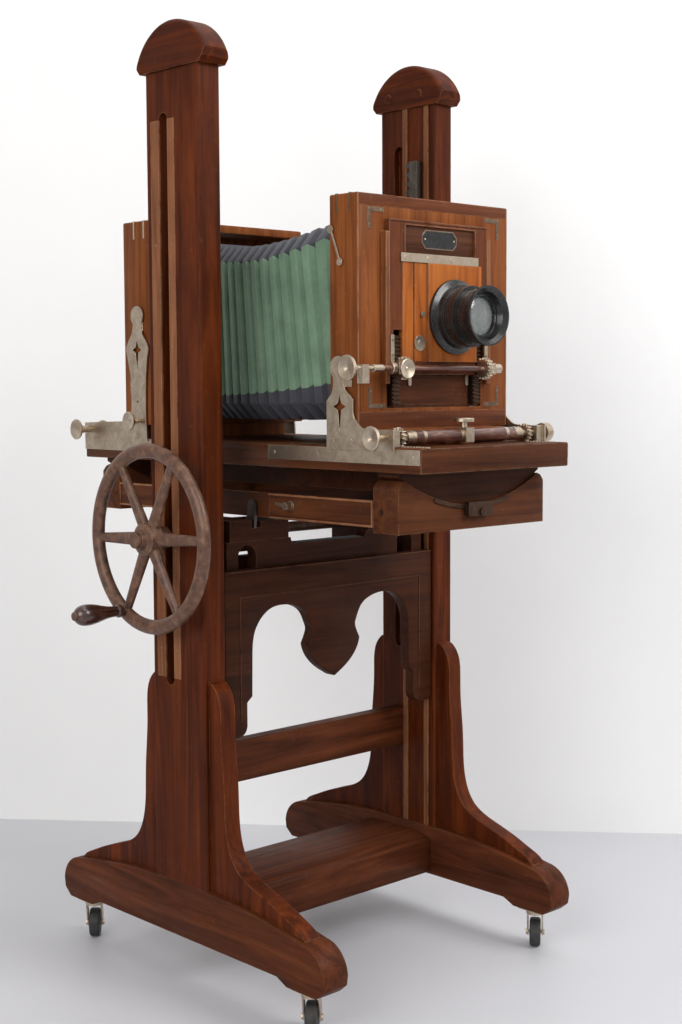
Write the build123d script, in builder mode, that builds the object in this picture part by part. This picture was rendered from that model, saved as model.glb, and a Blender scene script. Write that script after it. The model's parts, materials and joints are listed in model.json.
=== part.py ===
from build123d import *
import os
from math import cos, pi, radians, sin, sqrt

# A wooden studio view camera on its rolling two-column lifting stand, in millimetres, +Z up.
# Every size below is measured from the stand's own middle: X = 0 half way between the columns,
# Y = 0 at the columns' centre, Z = 0 at the floor. The lens looks along -Y, and the handwheel
# is on the -X side. FRAME_SHIFT then carries each finished piece to the part's own origin,
# the middle of the whole object's footprint.
FRAME_SHIFT = (69.0, 0.0, 0.0)

# Columns, caps and runners
COLUMN_IN = 244.0
COLUMN_OUT = 288.4
COLUMN_DEPTH = 136.0
RUNNER_TOP = 174.7
COLUMN_TOP = 1484.0
CAP_TOP = 1560.0
CAP_OVERHANG = 4.5
RUNNER_IN = 239.6
RUNNER_OUT = 290.0
BRACE_IN = 251.0
BRACE_OUT = 281.0

# Lift: slot, racks, shaft and handwheel
SHAFT_Y = 22.0
SHAFT_Z = 743.0
SHAFT_R = 9.0
SLOT_WIDTH = 22.0
SLOT_LOW = 501.0
SLOT_HIGH = 1419.0
LIFT_TEETH = 14
LIFT_PITCH_R = 35.0
LIFT_TOOTH = 8.5
WHEEL_X = -327.0
WHEEL_R = 142.0
RIM_HALF = 12.0
SPOKES = 6
GRIP_ANGLE = -62.5

# Carriage and cradle
APRON_Y = -62.0
APRON_THICK = 22.0
APRON_TOP = 688.0
APRON_HALF = 240.5
BEAM_TOP = 734.0
TILT_Y = -44.0
TILT_Z = 793.0
CRADLE_HALF = 167.0
CRADLE_LOW = 765.0
CRADLE_FRONT = 382.0
CRADLE_BACK = 328.0
ROLL_Z = 1100.0
SEAT_R = 297.0
SEAT_GAP = 0.5

# Bed and focus drives
BED_HALF = 170.0
BED_END = 430.0
BED_LOW = 857.0
BED_TOP = 895.0
FOCUS_ROD_Z = 909.0
FRONT_ROD_Y = -360.0
REAR_ROD_Y = 412.0
FOCUS_TEETH = 14
FOCUS_PITCH_R = 14.0
FOCUS_TOOTH = 3.4
RACK_X = 145.0

# Standards
BOX_HALF = 170.0
BOX_LOW = 919.5
BOX_TOP = 1276.0
BOX_WALL = 14.0
FRONT_FACE = -299.0
FRONT_BACK = -238.0
REAR_FACE = 208.0
REAR_BACK = 302.0
BELLOWS_HALF = 150.0
BELLOWS_LOW = 935.0
BELLOWS_TOP = 1239.0
BELLOWS_MIDDLE = -15.0

# Rising front and lens
RISE_HALF = 111.0
RISE_LOW = 1003.0
RISE_TOP = 1240.0
RISE_FACE = -308.0
RISE_ROD_Y = -320.0
RISE_ROD_Z = 1013.0
RISE_ROD_R = 4.0
RISE_TEETH = 16
RISE_PITCH_R = 16.0
RISE_TOOTH = 3.4
RISE_RACK_X = 92.5
LENS_X = 30.0
LENS_Z = 1094.0

# Casters: where each stands, and which way its wheel is turned
CASTER_X = 264.8
CASTER_Y = 290.0
CASTER_PAD = 74.0
CASTER_WHEEL_R = 25.0
CASTER_TRAIL = 13.0
CASTERS = {
    "1": (-CASTER_X, -CASTER_Y, 40.0),
    "2": (CASTER_X, -CASTER_Y, 38.0),
    "3": (-CASTER_X, CASTER_Y, 50.0),
    "4": (CASTER_X, CASTER_Y, 46.0),
}

RUNNING = 0.05


def save(builder, label):
    """Carry a finished piece to the part's own frame, label it and write it."""
    piece = builder.part.moved(Location(FRAME_SHIFT))
    piece.label = label
    export_step(piece, f"parts/{label}.step")


def side_plane(x):
    """Sketch plane across X: local x is +Y, local y is +Z, and extrusion goes to +X."""
    return Plane.YZ.offset(x)


def front_plane(y):
    """Sketch plane across Y: local x is +X, local y is +Z, and extrusion goes to -Y."""
    return Plane.XZ.offset(-y)


def toothed_edge(start, count, pitch, root, tip):
    """Corners of a row of rack teeth, from start along the rack, root and tip high."""
    corners = []
    for number in range(count):
        foot = start + number * pitch
        corners.append((foot + 0.20 * pitch, root))
        corners.append((foot + 0.36 * pitch, tip))
        corners.append((foot + 0.64 * pitch, tip))
        corners.append((foot + 0.80 * pitch, root))
    return corners


def pinion_corners(teeth, pitch_r, tooth, first):
    """Corners of a pinion in its own plane, with one tooth pointing along the angle first."""
    step = 2 * pi / teeth
    root = pitch_r - 0.53 * tooth
    tip = pitch_r + 0.40 * tooth
    corners = []
    for number in range(teeth):
        middle = radians(first) + number * step
        for reach, turn in ((root, -0.30), (tip, -0.14), (tip, 0.14), (root, 0.30)):
            angle = middle + turn * step
            corners.append((reach * cos(angle), reach * sin(angle)))
    return corners


def bar_x(radius, low, high, y, z, mode=Mode.ADD):
    """A round bar along X from low to high, inside the part being built."""
    with Locations((0.5 * (low + high), y, z)):
        Cylinder(radius, high - low, rotation=(0, 90, 0), mode=mode)


def bar_y(radius, low, high, x, z, mode=Mode.ADD):
    """A round bar along Y from low to high, inside the part being built."""
    with Locations((x, 0.5 * (low + high), z)):
        Cylinder(radius, high - low, rotation=(90, 0, 0), mode=mode)


def block(low, high, mode=Mode.ADD):
    """A box given by any two opposite corners, inside the part being built."""
    middle = tuple(0.5 * (a + b) for a, b in zip(low, high))
    with Locations(middle):
        Box(*(abs(b - a) for a, b in zip(low, high)), mode=mode)


os.makedirs("parts", exist_ok=True)

# ---------------------------------------------------------------- stand: columns and caps
STRIP_LOW = 513.0
STRIP_HIGH = 1408.0
STRIP_DEEP = 2.0
OUTER_STRIPS = ((44.0, 22.0), (2.0, 18.0))
INNER_STRIPS = ((4.5, 11.0), (-47.8, 10.4))
INNER_STRIP_PROUD = 2.5

with BuildPart() as column_left:
    with BuildSketch(Plane.XY.offset(RUNNER_TOP)):
        with Locations((-0.5 * (COLUMN_IN + COLUMN_OUT), 0)):
            RectangleRounded(COLUMN_OUT - COLUMN_IN, COLUMN_DEPTH, 4.5)
    extrude(amount=COLUMN_TOP - RUNNER_TOP)
    with BuildSketch(side_plane(-COLUMN_OUT - 1)):
        with Locations((SHAFT_Y, 0.5 * (SLOT_LOW + SLOT_HIGH))):
            SlotOverall(SLOT_HIGH - SLOT_LOW, SLOT_WIDTH, rotation=90)
    extrude(amount=COLUMN_OUT - COLUMN_IN + 2, mode=Mode.SUBTRACT)
    for strip_y, strip_width in OUTER_STRIPS:
        with BuildSketch(side_plane(-COLUMN_OUT)):
            with Locations((strip_y, 0.5 * (STRIP_LOW + STRIP_HIGH))):
                Rectangle(strip_width, STRIP_HIGH - STRIP_LOW)
        extrude(amount=STRIP_DEEP, mode=Mode.SUBTRACT)
save(column_left, "column_left")

with BuildPart() as column_right:
    with BuildSketch(Plane.XY.offset(RUNNER_TOP)):
        with Locations((0.5 * (COLUMN_IN + COLUMN_OUT), 0)):
            RectangleRounded(COLUMN_OUT - COLUMN_IN, COLUMN_DEPTH, 4.5)
    extrude(amount=COLUMN_TOP - RUNNER_TOP)
    with BuildSketch(side_plane(COLUMN_IN)):
        with Locations((SHAFT_Y, 0.5 * (SLOT_LOW + SLOT_HIGH))):
            SlotOverall(SLOT_HIGH - SLOT_LOW, SLOT_WIDTH, rotation=90)
    extrude(amount=12, mode=Mode.SUBTRACT)
save(column_right, "column_right")

with BuildPart() as guide_strips:
    for strip_y, strip_width in OUTER_STRIPS:
        with BuildSketch(side_plane(-COLUMN_OUT - 0.6)):
            with Locations((strip_y, 0.5 * (STRIP_LOW + STRIP_HIGH))):
                Rectangle(strip_width - 0.2, STRIP_HIGH - STRIP_LOW - 0.4)
        extrude(amount=STRIP_DEEP + 0.6)
    for strip_y, strip_width in INNER_STRIPS:
        for strip_x in (-COLUMN_IN, COLUMN_IN - INNER_STRIP_PROUD):
            with BuildSketch(side_plane(strip_x)):
                with Locations((strip_y, 0.5 * (RUNNER_TOP + COLUMN_TOP))):
                    Rectangle(strip_width, COLUMN_TOP - RUNNER_TOP - 1)
            extrude(amount=INNER_STRIP_PROUD)
save(guide_strips, "guide_strips")

with BuildPart() as column_caps:
    with BuildSketch(side_plane(COLUMN_IN - CAP_OVERHANG)):
        with BuildLine():
            Polyline((-86.5, COLUMN_TOP + 23), (-84, COLUMN_TOP + 9), (-76, COLUMN_TOP),
                     (76, COLUMN_TOP), (84, COLUMN_TOP + 9), (86.5, COLUMN_TOP + 23))
            ThreePointArc((86.5, COLUMN_TOP + 23), (0, CAP_TOP), (-86.5, COLUMN_TOP + 23))
        make_face()
    extrude(amount=COLUMN_OUT - COLUMN_IN + 2 * CAP_OVERHANG)
    fillet(column_caps.edges().filter_by(GeomType.CIRCLE), 9)
    for plug_y in (-32.0, 44.0):
        bar_x(7.5, COLUMN_IN - CAP_OVERHANG - 1.5, COLUMN_IN, plug_y, COLUMN_TOP + 22)
    mirror(about=Plane.YZ)
save(column_caps, "column_caps")

# ---------------------------------------------------------------- stand: lift racks
lift_pitch = 2 * pi * LIFT_PITCH_R / LIFT_TEETH
rack_pitch_y = SHAFT_Y - LIFT_PITCH_R
rack_root = rack_pitch_y - 0.55 * LIFT_TOOTH
rack_tip = rack_pitch_y + 0.38 * LIFT_TOOTH
RACK_BACK = -36.0
RACK_IN = 229.5
TEETH_BELOW = 16
TEETH_ABOVE = 41
rack_start = SHAFT_Z - TEETH_BELOW * lift_pitch
rack_end = SHAFT_Z + TEETH_ABOVE * lift_pitch
with BuildPart() as lift_racks:
    with BuildSketch(side_plane(RACK_IN)):
        with BuildLine():
            teeth = toothed_edge(rack_start, TEETH_BELOW + TEETH_ABOVE, lift_pitch, rack_root, rack_tip)
            face = [(height, along) for along, height in teeth]
            Polyline([(RACK_BACK, rack_start), (rack_root, rack_start)] + face
                     + [(rack_root, rack_end), (RACK_BACK, rack_end)], close=True)
        make_face()
    extrude(amount=COLUMN_IN - RACK_IN)
    mirror(about=Plane.YZ)
save(lift_racks, "lift_racks")

# ---------------------------------------------------------------- stand: runners, braces, stretchers
with BuildPart() as runners:
    with BuildSketch(side_plane(RUNNER_IN)):
        with BuildLine():
            Line((-68, RUNNER_TOP), (68, RUNNER_TOP))
            ThreePointArc((68, RUNNER_TOP), (190, 167), (300, 150))
            ThreePointArc((300, 150), (336, 131), (346.5, 104))
            Polyline((346.5, 104), (344, 88), (327, CASTER_PAD), (261, CASTER_PAD), (238, 84.5),
                     (-238, 84.5), (-261, CASTER_PAD), (-327, CASTER_PAD), (-344, 88), (-346.5, 104))
            ThreePointArc((-346.5, 104), (-336, 131), (-300, 150))
            ThreePointArc((-300, 150), (-190, 167), (-68, RUNNER_TOP))
        make_face()
    extrude(amount=RUNNER_OUT - RUNNER_IN)
    mirror(about=Plane.YZ)
save(runners, "runners")

with BuildPart() as foot_braces:
    with BuildSketch(side_plane(BRACE_IN)):
        with BuildLine():
            Polyline((68, RUNNER_TOP + 0.1), (68, 517), (77, 514))
            Spline((77, 514), (91, 498), (98, 440), (105, 345), (110, 273), (132, 227), (183, 201),
                   (233, 184), (271, 168), (290, 158), (296, 150.9))
            ThreePointArc((296, 150.9), (190, 167.1), (68, RUNNER_TOP + 0.1))
        make_face()
    extrude(amount=BRACE_OUT - BRACE_IN)
    mirror(about=Plane.XZ)
    mirror(about=Plane.YZ)
save(foot_braces, "foot_braces")

with BuildPart() as stretchers:
    block((-COLUMN_IN, 10.3, 317), (COLUMN_IN, 37, 388))
    fillet(stretchers.edges().filter_by(Axis.X), 3)
    with BuildSketch(side_plane(-RUNNER_IN)):
        with BuildLine():
            Polyline((-62, 90), (106, 90), (106, 154), (97, 154), (97, 160), (-40, 160))
            Spline((-40, 160), (-47, 156), (-52, 154))
            Polyline((-52, 154), (-58, 154), (-62, 150), (-62, 90))
        make_face()
    extrude(amount=2 * RUNNER_IN)
save(stretchers, "stretchers")

# ---------------------------------------------------------------- casters
STEM_R = 5.0
FORK_TOP = 67.0
FORK_HALF = 11.5
AXLE_R = 3.0

with BuildPart() as caster_plates:
    for caster_x, caster_y, _ in CASTERS.values():
        with Locations((caster_x, caster_y, CASTER_PAD - 1.25)):
            Box(42, 42, 2.5)
        with Locations((caster_x, caster_y, FORK_TOP + 2.5)):
            Cylinder(16, 4.5)
        with Locations((caster_x, caster_y, 0.5 * (CASTER_PAD + 62))):
            Cylinder(STEM_R, CASTER_PAD - 62)
        with Locations((caster_x, caster_y, 61)):
            Cylinder(STEM_R + 2.5, 2.5)
save(caster_plates, "caster_plates")

for number, (caster_x, caster_y, heading) in CASTERS.items():
    top = Plane(origin=(caster_x, caster_y, 0), x_dir=(cos(radians(heading)), sin(radians(heading)), 0),
                z_dir=(0, 0, 1))
    axle = top.from_local_coords((CASTER_TRAIL, 0, CASTER_WHEEL_R))
    across = Plane(origin=axle, x_dir=top.x_dir, z_dir=-top.y_dir)
    with BuildPart() as caster_fork:
        with BuildSketch(top.offset(FORK_TOP - 4.25)):
            Circle(15)
            Circle(STEM_R + RUNNING, mode=Mode.SUBTRACT)
        extrude(amount=4.2)
        with BuildSketch(top.offset(FORK_TOP - 4.25)):
            with Locations((6, 0)):
                Rectangle(24, 2 * FORK_HALF + 5)
            Circle(STEM_R + 2.9, mode=Mode.SUBTRACT)
        extrude(amount=4.2)
        for side in (-1, 1):
            with BuildSketch(across.offset(side * (FORK_HALF + 1.25) - 1.25)):
                with BuildLine():
                    Polyline((-19, 37.8), (-6, 5), (-6, -3), (0, -7), (6, -3), (6, 5), (5, 37.8),
                             close=True)
                make_face()
            extrude(amount=2.5)
        with BuildSketch(across.offset(-FORK_HALF - 4)):
            Circle(AXLE_R)
        extrude(amount=2 * FORK_HALF + 8)
        for side in (-1, 1):
            with BuildSketch(across.offset(side * (FORK_HALF + 3.75) - 1.25)):
                RegularPolygon(5, 6)
            extrude(amount=2.5)
    save(caster_fork, f"caster_fork_{number}")

    with BuildPart() as caster_wheel:
        with BuildSketch(across.offset(-9.5)):
            Circle(CASTER_WHEEL_R)
            Circle(AXLE_R + RUNNING, mode=Mode.SUBTRACT)
        extrude(amount=19)
        fillet(caster_wheel.edges().filter_by(GeomType.CIRCLE).sort_by(SortBy.RADIUS)[-2:], 4.5)
    save(caster_wheel, f"caster_wheel_{number}")

# ---------------------------------------------------------------- handwheel, grip and lift shaft
SPOKE_ROOT = 24.0
GRIP_R = WHEEL_R - 5.5
grip_y = SHAFT_Y + GRIP_R * cos(radians(GRIP_ANGLE))
grip_z = SHAFT_Z + GRIP_R * sin(radians(GRIP_ANGLE))
GRIP_PIN_R = 4.0
GRIP_LENGTH = 88.0

with BuildPart() as handwheel:
    with BuildSketch(Plane(origin=(WHEEL_X, SHAFT_Y, SHAFT_Z), x_dir=(0, 1, 0), z_dir=(0, 0, 1))):
        with Locations((WHEEL_R, 0)):
            Ellipse(RIM_HALF, 10)
    revolve(axis=Axis((WHEEL_X, SHAFT_Y, SHAFT_Z), (1, 0, 0)))
    with BuildSketch(Plane(origin=(WHEEL_X, SHAFT_Y, SHAFT_Z), x_dir=(1, 0, 0), z_dir=(0, 0, 1))):
        with BuildLine():
            Polyline((-24, SHAFT_R + RUNNING), (-24, 15), (-15, 17), (-12, 26), (8, 28), (11, 21),
                     (32, 18), (32, SHAFT_R + RUNNING), close=True)
        make_face()
    revolve(axis=Axis((WHEEL_X, SHAFT_Y, SHAFT_Z), (1, 0, 0)))
    for number in range(SPOKES):
        angle = radians(GRIP_ANGLE) + number * 2 * pi / SPOKES
        outward = (0, cos(angle), sin(angle))
        centre = (WHEEL_X, SHAFT_Y, SHAFT_Z)
        spoke = Plane(origin=centre, x_dir=(1, 0, 0), z_dir=outward)
        with BuildSketch(spoke.offset(SPOKE_ROOT)):
            Ellipse(8, 11.5)
        with BuildSketch(spoke.offset(WHEEL_R - 6)):
            Ellipse(6, 7.5)
        loft()
    bar_x(GRIP_PIN_R, WHEEL_X - 12 - GRIP_LENGTH - 4, WHEEL_X, grip_y, grip_z)
    bar_x(GRIP_PIN_R + 3, WHEEL_X - 12 - GRIP_LENGTH - 4, WHEEL_X - 12 - GRIP_LENGTH - 1, grip_y, grip_z)
save(handwheel, "handwheel")

with BuildPart() as wheel_grip:
    grip_foot = WHEEL_X - 12.6
    with BuildSketch(Plane(origin=(grip_foot, grip_y, grip_z), x_dir=(-1, 0, 0), z_dir=(0, 0, -1))):
        with BuildLine():
            Polyline((0, GRIP_PIN_R + RUNNING), (0, 9.5), (2, 10.8), (7, 10.8), (10, 8.6), (15, 9.0))
            Spline((15, 9.0), (42, 13.5), (65, 17.3), (81, 14.5), (GRIP_LENGTH, GRIP_PIN_R + 3.5))
            Polyline((GRIP_LENGTH, GRIP_PIN_R + 3.5), (GRIP_LENGTH, GRIP_PIN_R + RUNNING),
                     (0, GRIP_PIN_R + RUNNING))
        make_face()
    revolve(axis=Axis((0, grip_y, grip_z), (1, 0, 0)))
save(wheel_grip, "wheel_grip")

PINION_IN = 229.5
PINION_OUT = 240.5
with BuildPart() as lift_shaft:
    bar_x(SHAFT_R, WHEEL_X - 30, COLUMN_IN + 8, SHAFT_Y, SHAFT_Z)
    bar_x(SHAFT_R + 4, WHEEL_X - 30, WHEEL_X - 24.5, SHAFT_Y, SHAFT_Z)
    for pinion_x in (-PINION_OUT, PINION_IN):
        with BuildSketch(Plane(origin=(pinion_x, SHAFT_Y, SHAFT_Z), x_dir=(0, 1, 0), z_dir=(1, 0, 0))):
            Polygon(pinion_corners(LIFT_TEETH, LIFT_PITCH_R, LIFT_TOOTH, 180.0), align=None)
        extrude(amount=PINION_OUT - PINION_IN)
save(lift_shaft, "lift_shaft")

# ---------------------------------------------------------------- carriage
with BuildPart() as apron:
    with BuildSketch(front_plane(APRON_Y)):
        with BuildLine():
            Polyline((0, APRON_TOP), (APRON_HALF, APRON_TOP), (APRON_HALF, 420), (235, 414), (214, 414))
            ThreePointArc((214, 414), (200, 420), (195, 434))
            Polyline((195, 434), (195, 470), (184, 479), (183, 545))
            Spline((183, 545), (172, 596), (146, 619), (115, 624), (84, 618), (62, 603), (52.5, 584),
                   (60, 550), tangents=[(0, 1), (0.5, -0.9)])
            Spline((60, 550), (52, 530), (31, 508), (0, 489), tangents=[(-0.2, -1), (-0.85, -0.5)])
            Line((0, 489), (0, APRON_TOP))
        make_face()
        mirror(about=Plane.YZ)
    extrude(amount=-APRON_THICK)
save(apron, "apron")

BEAM_Y = -50.0
BEAM_THICK = 22.0
with BuildPart() as carriage_frame:
    with BuildSketch(front_plane(BEAM_Y)):
        with Locations((0, 0.5 * (APRON_TOP + BEAM_TOP))):
            Rectangle(2 * 226, BEAM_TOP - APRON_TOP)
        for side in (-1, 1):
            with Locations((side * 183, APRON_TOP + 10.5)):
                Rectangle(38.5, 21, mode=Mode.SUBTRACT)
            with Locations((side * 183, APRON_TOP + 20.5)):
                Circle(19.25, mode=Mode.SUBTRACT)
        with Locations((0, BEAM_TOP)):
            SlotOverall(176, 22, mode=Mode.SUBTRACT)
    extrude(amount=-BEAM_THICK)
    block((-205, 26, 645), (205, 44, 700))
    for side in (-1, 1):
        block((side * 215.5 - 10.5, -40, 645), (side * 215.5 + 10.5, 44, 687.9))
        block((side * 215.5 - 10.5, -28, 687.9), (side * 215.5 + 10.5, 44, 714.9))
save(carriage_frame, "carriage_frame")

with BuildPart() as bearing_blocks:
    block((93, -28, 715), (219, 44, BEAM_TOP))
    block((93, BEAM_Y, BEAM_TOP), (153, 44, 765))
    block((153, BEAM_Y, BEAM_TOP), (173, 44, 755))
    block((173, BEAM_Y, BEAM_TOP), (219, 44, 770))
    chamfer(bearing_blocks.edges().group_by(Axis.Z)[-1], 1.5)
    bar_x(SHAFT_R + RUNNING, 90, 222, SHAFT_Y, SHAFT_Z, mode=Mode.SUBTRACT)
    mirror(about=Plane.YZ)
save(bearing_blocks, "bearing_blocks")

TILT_PIN_R = 5.0
with BuildPart() as tilt_ears:
    with BuildSketch(side_plane(163)):
        with BuildLine():
            Polyline((TILT_Y - 9, TILT_Z), (TILT_Y - 6, 755), (TILT_Y + 16, 755), (TILT_Y + 9, TILT_Z))
            ThreePointArc((TILT_Y + 9, TILT_Z), (TILT_Y, TILT_Z + 9), (TILT_Y - 9, TILT_Z))
        make_face()
    extrude(amount=5)
    bar_x(TILT_PIN_R, 148, 170, TILT_Y, TILT_Z)
    mirror(about=Plane.YZ)
save(tilt_ears, "tilt_ears")

# ---------------------------------------------------------------- tilting cradle
RAIL_IN = 150.0
RAIL_LOW = 773.0
RAIL_TOP = 814.0
seat_edge = 152.0
seat_edge_z = ROLL_Z - sqrt(SEAT_R ** 2 - seat_edge ** 2)
for label, cradle_y in (("cradle_front", -CRADLE_FRONT), ("cradle_rear", CRADLE_BACK)):
    with BuildPart() as cradle:
        with BuildSketch(front_plane(cradle_y)):
            with BuildLine():
                Polyline((-seat_edge, seat_edge_z), (-160, seat_edge_z - 3), (-CRADLE_HALF, seat_edge_z - 12),
                         (-CRADLE_HALF, CRADLE_LOW), (CRADLE_HALF, CRADLE_LOW),
                         (CRADLE_HALF, seat_edge_z - 12), (160, seat_edge_z - 3), (seat_edge, seat_edge_z))
                ThreePointArc((seat_edge, seat_edge_z), (0, ROLL_Z - SEAT_R), (-seat_edge, seat_edge_z))
            make_face()
        extrude(amount=-(CRADLE_FRONT - CRADLE_BACK))
        if label == "cradle_front":
            bar_y(4.55, -CRADLE_FRONT - 1, -CRADLE_FRONT + 20, 6, 791, mode=Mode.SUBTRACT)
    save(cradle, label)

with BuildPart() as platform_rails:
    block((RAIL_IN, -CRADLE_BACK, RAIL_LOW), (CRADLE_HALF, -87, RAIL_TOP))
    block((RAIL_IN, -87, RAIL_LOW), (160, 87, RAIL_TOP))
    block((RAIL_IN, 87, RAIL_LOW), (CRADLE_HALF, CRADLE_BACK, RAIL_TOP))
    bar_x(TILT_PIN_R + RUNNING, 149, 162, TILT_Y, TILT_Z, mode=Mode.SUBTRACT)
    mirror(about=Plane.YZ)
    bar_x(4.05, -CRADLE_HALF - 1, -RAIL_IN + 1, -142, 796, mode=Mode.SUBTRACT)
save(platform_rails, "platform_rails")

with BuildPart() as cradle_fittings:
    with BuildSketch(front_plane(-CRADLE_FRONT - 0.02)):
        with BuildLine():
            band = []
            for reach, angles in ((SEAT_R + 1, (-17.8, -3, 15.7)), (SEAT_R + 6.5, (15.7, -3, -17.8))):
                band.append([(reach * sin(radians(a)), ROLL_Z - reach * cos(radians(a))) for a in angles])
            ThreePointArc(*band[0])
            Line(band[0][-1], band[1][0])
            ThreePointArc(*band[1])
            Line(band[1][-1], band[0][0])
        make_face()
    extrude(amount=3)
    with BuildSketch(front_plane(-CRADLE_FRONT - 3.1)):
        with Locations((2.5, 796)):
            RectangleRounded(55, 22, 3)
        with Locations((6, 791)):
            Circle(4.55, mode=Mode.SUBTRACT)
    extrude(amount=9)
    block((CRADLE_HALF + 0.05, -376, 783), (CRADLE_HALF + 5, -334, 822))
    for bolt_y in (-365, -345):
        bar_x(4.5, CRADLE_HALF + 5, CRADLE_HALF + 9, bolt_y, 802)
    bar_x(4.0, -CRADLE_HALF - 3, -CRADLE_HALF - 0.05, -345, 797)
save(cradle_fittings, "cradle_fittings")

with BuildPart() as roll_clamp_screw:
    bar_y(4.5, -CRADLE_FRONT - 14, -CRADLE_FRONT + 19, 6, 791)
    bar_y(6.5, -CRADLE_FRONT - 15.5, -CRADLE_FRONT - 12.4, 6, 791)
    block((5.3, -CRADLE_FRONT - 16.4, 785.5), (6.7, -CRADLE_FRONT - 15.5, 796.5))
save(roll_clamp_screw, "roll_clamp_screw")

with BuildPart() as wing_screw:
    bar_x(4.0, -CRADLE_HALF - 12, -RAIL_IN + 0.5, -142, 796)
    bar_x(8.0, -CRADLE_HALF - 3, -CRADLE_HALF - 0.3, -142, 796)
    bar_x(6.5, -CRADLE_HALF - 15, -CRADLE_HALF - 6, -142, 796)
    with BuildSketch(side_plane(-CRADLE_HALF - 13)):
        with BuildLine():
            Polyline((-148, 799), (-148, 792), (-118, 797), (-118, 801), close=True)
        make_face()
    extrude(amount=4)
save(wing_screw, "wing_screw")

# ---------------------------------------------------------------- bed and its roll segments
focus_pitch = 2 * pi * FOCUS_PITCH_R / FOCUS_TEETH
focus_line = FOCUS_ROD_Z - FOCUS_PITCH_R
focus_root = focus_line - 0.55 * FOCUS_TOOTH
focus_tip = focus_line + 0.38 * FOCUS_TOOTH
GROOVE_LOW = 886.0
RACK_HALF = 5.0
with BuildPart() as bed_board:
    block((-BED_HALF, -BED_END, BED_LOW), (BED_HALF, BED_END, BED_TOP))
    chamfer(bed_board.edges().filter_by(Axis.Y), 1.5)
    for side in (-1, 1):
        block((side * RACK_X - RACK_HALF - 0.3, -BED_END - 1, GROOVE_LOW),
              (side * RACK_X + RACK_HALF + 0.3, BED_END + 1, BED_TOP + 1), mode=Mode.SUBTRACT)
        block((side * 166.5 - 3.6, -88, BED_LOW - 1), (side * 166.5 + 3.6, 88, 884), mode=Mode.SUBTRACT)
save(bed_board, "bed_board")

with BuildPart() as bed_racks:
    for rod_y, teeth_before, teeth_after in ((FRONT_ROD_Y, 10, 38), (REAR_ROD_Y, 44, 2)):
        start = rod_y - teeth_before * focus_pitch
        end = rod_y + teeth_after * focus_pitch
        with BuildSketch(side_plane(RACK_X - RACK_HALF)):
            with BuildLine():
                teeth = toothed_edge(start, teeth_before + teeth_after, focus_pitch, focus_root, focus_tip)
                Polyline([(start, GROOVE_LOW), (start, focus_root)] + teeth
                         + [(end, focus_root), (end, GROOVE_LOW)], close=True)
            make_face()
        extrude(amount=2 * RACK_HALF)
    mirror(about=Plane.YZ)
save(bed_racks, "bed_racks")

with BuildPart() as bed_rails:
    for low_y, high_y, low_z in ((-BED_END + 1, -92, 870), (92, BED_END, 872)):
        block((BED_HALF, low_y, low_z), (BED_HALF + 2, high_y, low_z + 22.5))
        for number in range(4):
            screw_y = low_y + 14 + number * (high_y - low_y - 28) / 3
            bar_x(3.2, BED_HALF + 2, BED_HALF + 2.4, screw_y, low_z + 11)
    mirror(about=Plane.YZ)
save(bed_rails, "bed_rails")

with BuildPart() as roll_segments:
    half = 160.0
    arc_r = SEAT_R - SEAT_GAP
    with BuildSketch(front_plane(-CRADLE_FRONT + 5)):
        with BuildLine():
            Polyline((half, ROLL_Z - sqrt(arc_r ** 2 - half ** 2)), (half, BED_LOW), (-half, BED_LOW),
                     (-half, ROLL_Z - sqrt(arc_r ** 2 - half ** 2)))
            ThreePointArc((-half, ROLL_Z - sqrt(arc_r ** 2 - half ** 2)), (0, ROLL_Z - arc_r),
                          (half, ROLL_Z - sqrt(arc_r ** 2 - half ** 2)))
        make_face()
    extrude(amount=-(CRADLE_FRONT - CRADLE_BACK - 10))
    mirror(about=Plane.XZ)
    block((-95, -CRADLE_BACK - 5, 822), (95, CRADLE_BACK + 5, BED_LOW))
save(roll_segments, "roll_segments")

# ---------------------------------------------------------------- focus rods
FOCUS_ROD_R = 10.0
JOURNAL_R = 6.0
KNOB_R = 18.5


def dish_knob(x, y, z, radius):
    """A turned nickel knob with a dished face towards -X, its face at x."""
    with BuildSketch(Plane(origin=(x, y, z), x_dir=(1, 0, 0), z_dir=(0, 0, -1))) as profile:
        with BuildLine():
            Polyline((5, 0), (2.5, 0.35 * radius), (0, 0.88 * radius), (0.8, radius), (3.5, radius),
                     (8, 0.45 * radius), (18, 0.36 * radius), (18, 0), close=True)
        make_face()
    revolve(profile.sketch, axis=Axis((x, y, z), (1, 0, 0)))


for label, rod_y, rod_end in (("front_focus_rod", FRONT_ROD_Y, 204.0), ("rear_focus_rod", REAR_ROD_Y, 198.0)):
    with BuildPart() as rod:
        dish_knob(-205, rod_y, FOCUS_ROD_Z, KNOB_R)
        bar_x(JOURNAL_R, -189, 190, rod_y, FOCUS_ROD_Z)
        bar_x(FOCUS_ROD_R, -132, 132, rod_y, FOCUS_ROD_Z)
        for collar in (-118, -95, 95, 118):
            bar_x(FOCUS_ROD_R + 0.8, collar - 3, collar + 3, rod_y, FOCUS_ROD_Z)
        for pinion_x in (-RACK_X - 4, RACK_X - 4):
            with BuildSketch(Plane(origin=(pinion_x, rod_y, FOCUS_ROD_Z), x_dir=(0, 1, 0), z_dir=(1, 0, 0))):
                Polygon(pinion_corners(FOCUS_TEETH, FOCUS_PITCH_R, FOCUS_TOOTH, -90.0), align=None)
            extrude(amount=8)
        with BuildSketch(side_plane(rod_end - 16)):
            with Locations((rod_y, FOCUS_ROD_Z)):
                Circle(15)
        extrude(amount=16)
        chamfer(rod.faces().sort_by(Axis.X)[-1].edges(), 1.5)
    save(rod, label)

# ---------------------------------------------------------------- front standard
PLATE_IN = BOX_HALF + 2.6
PLATE_THICK = 3.0


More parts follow.
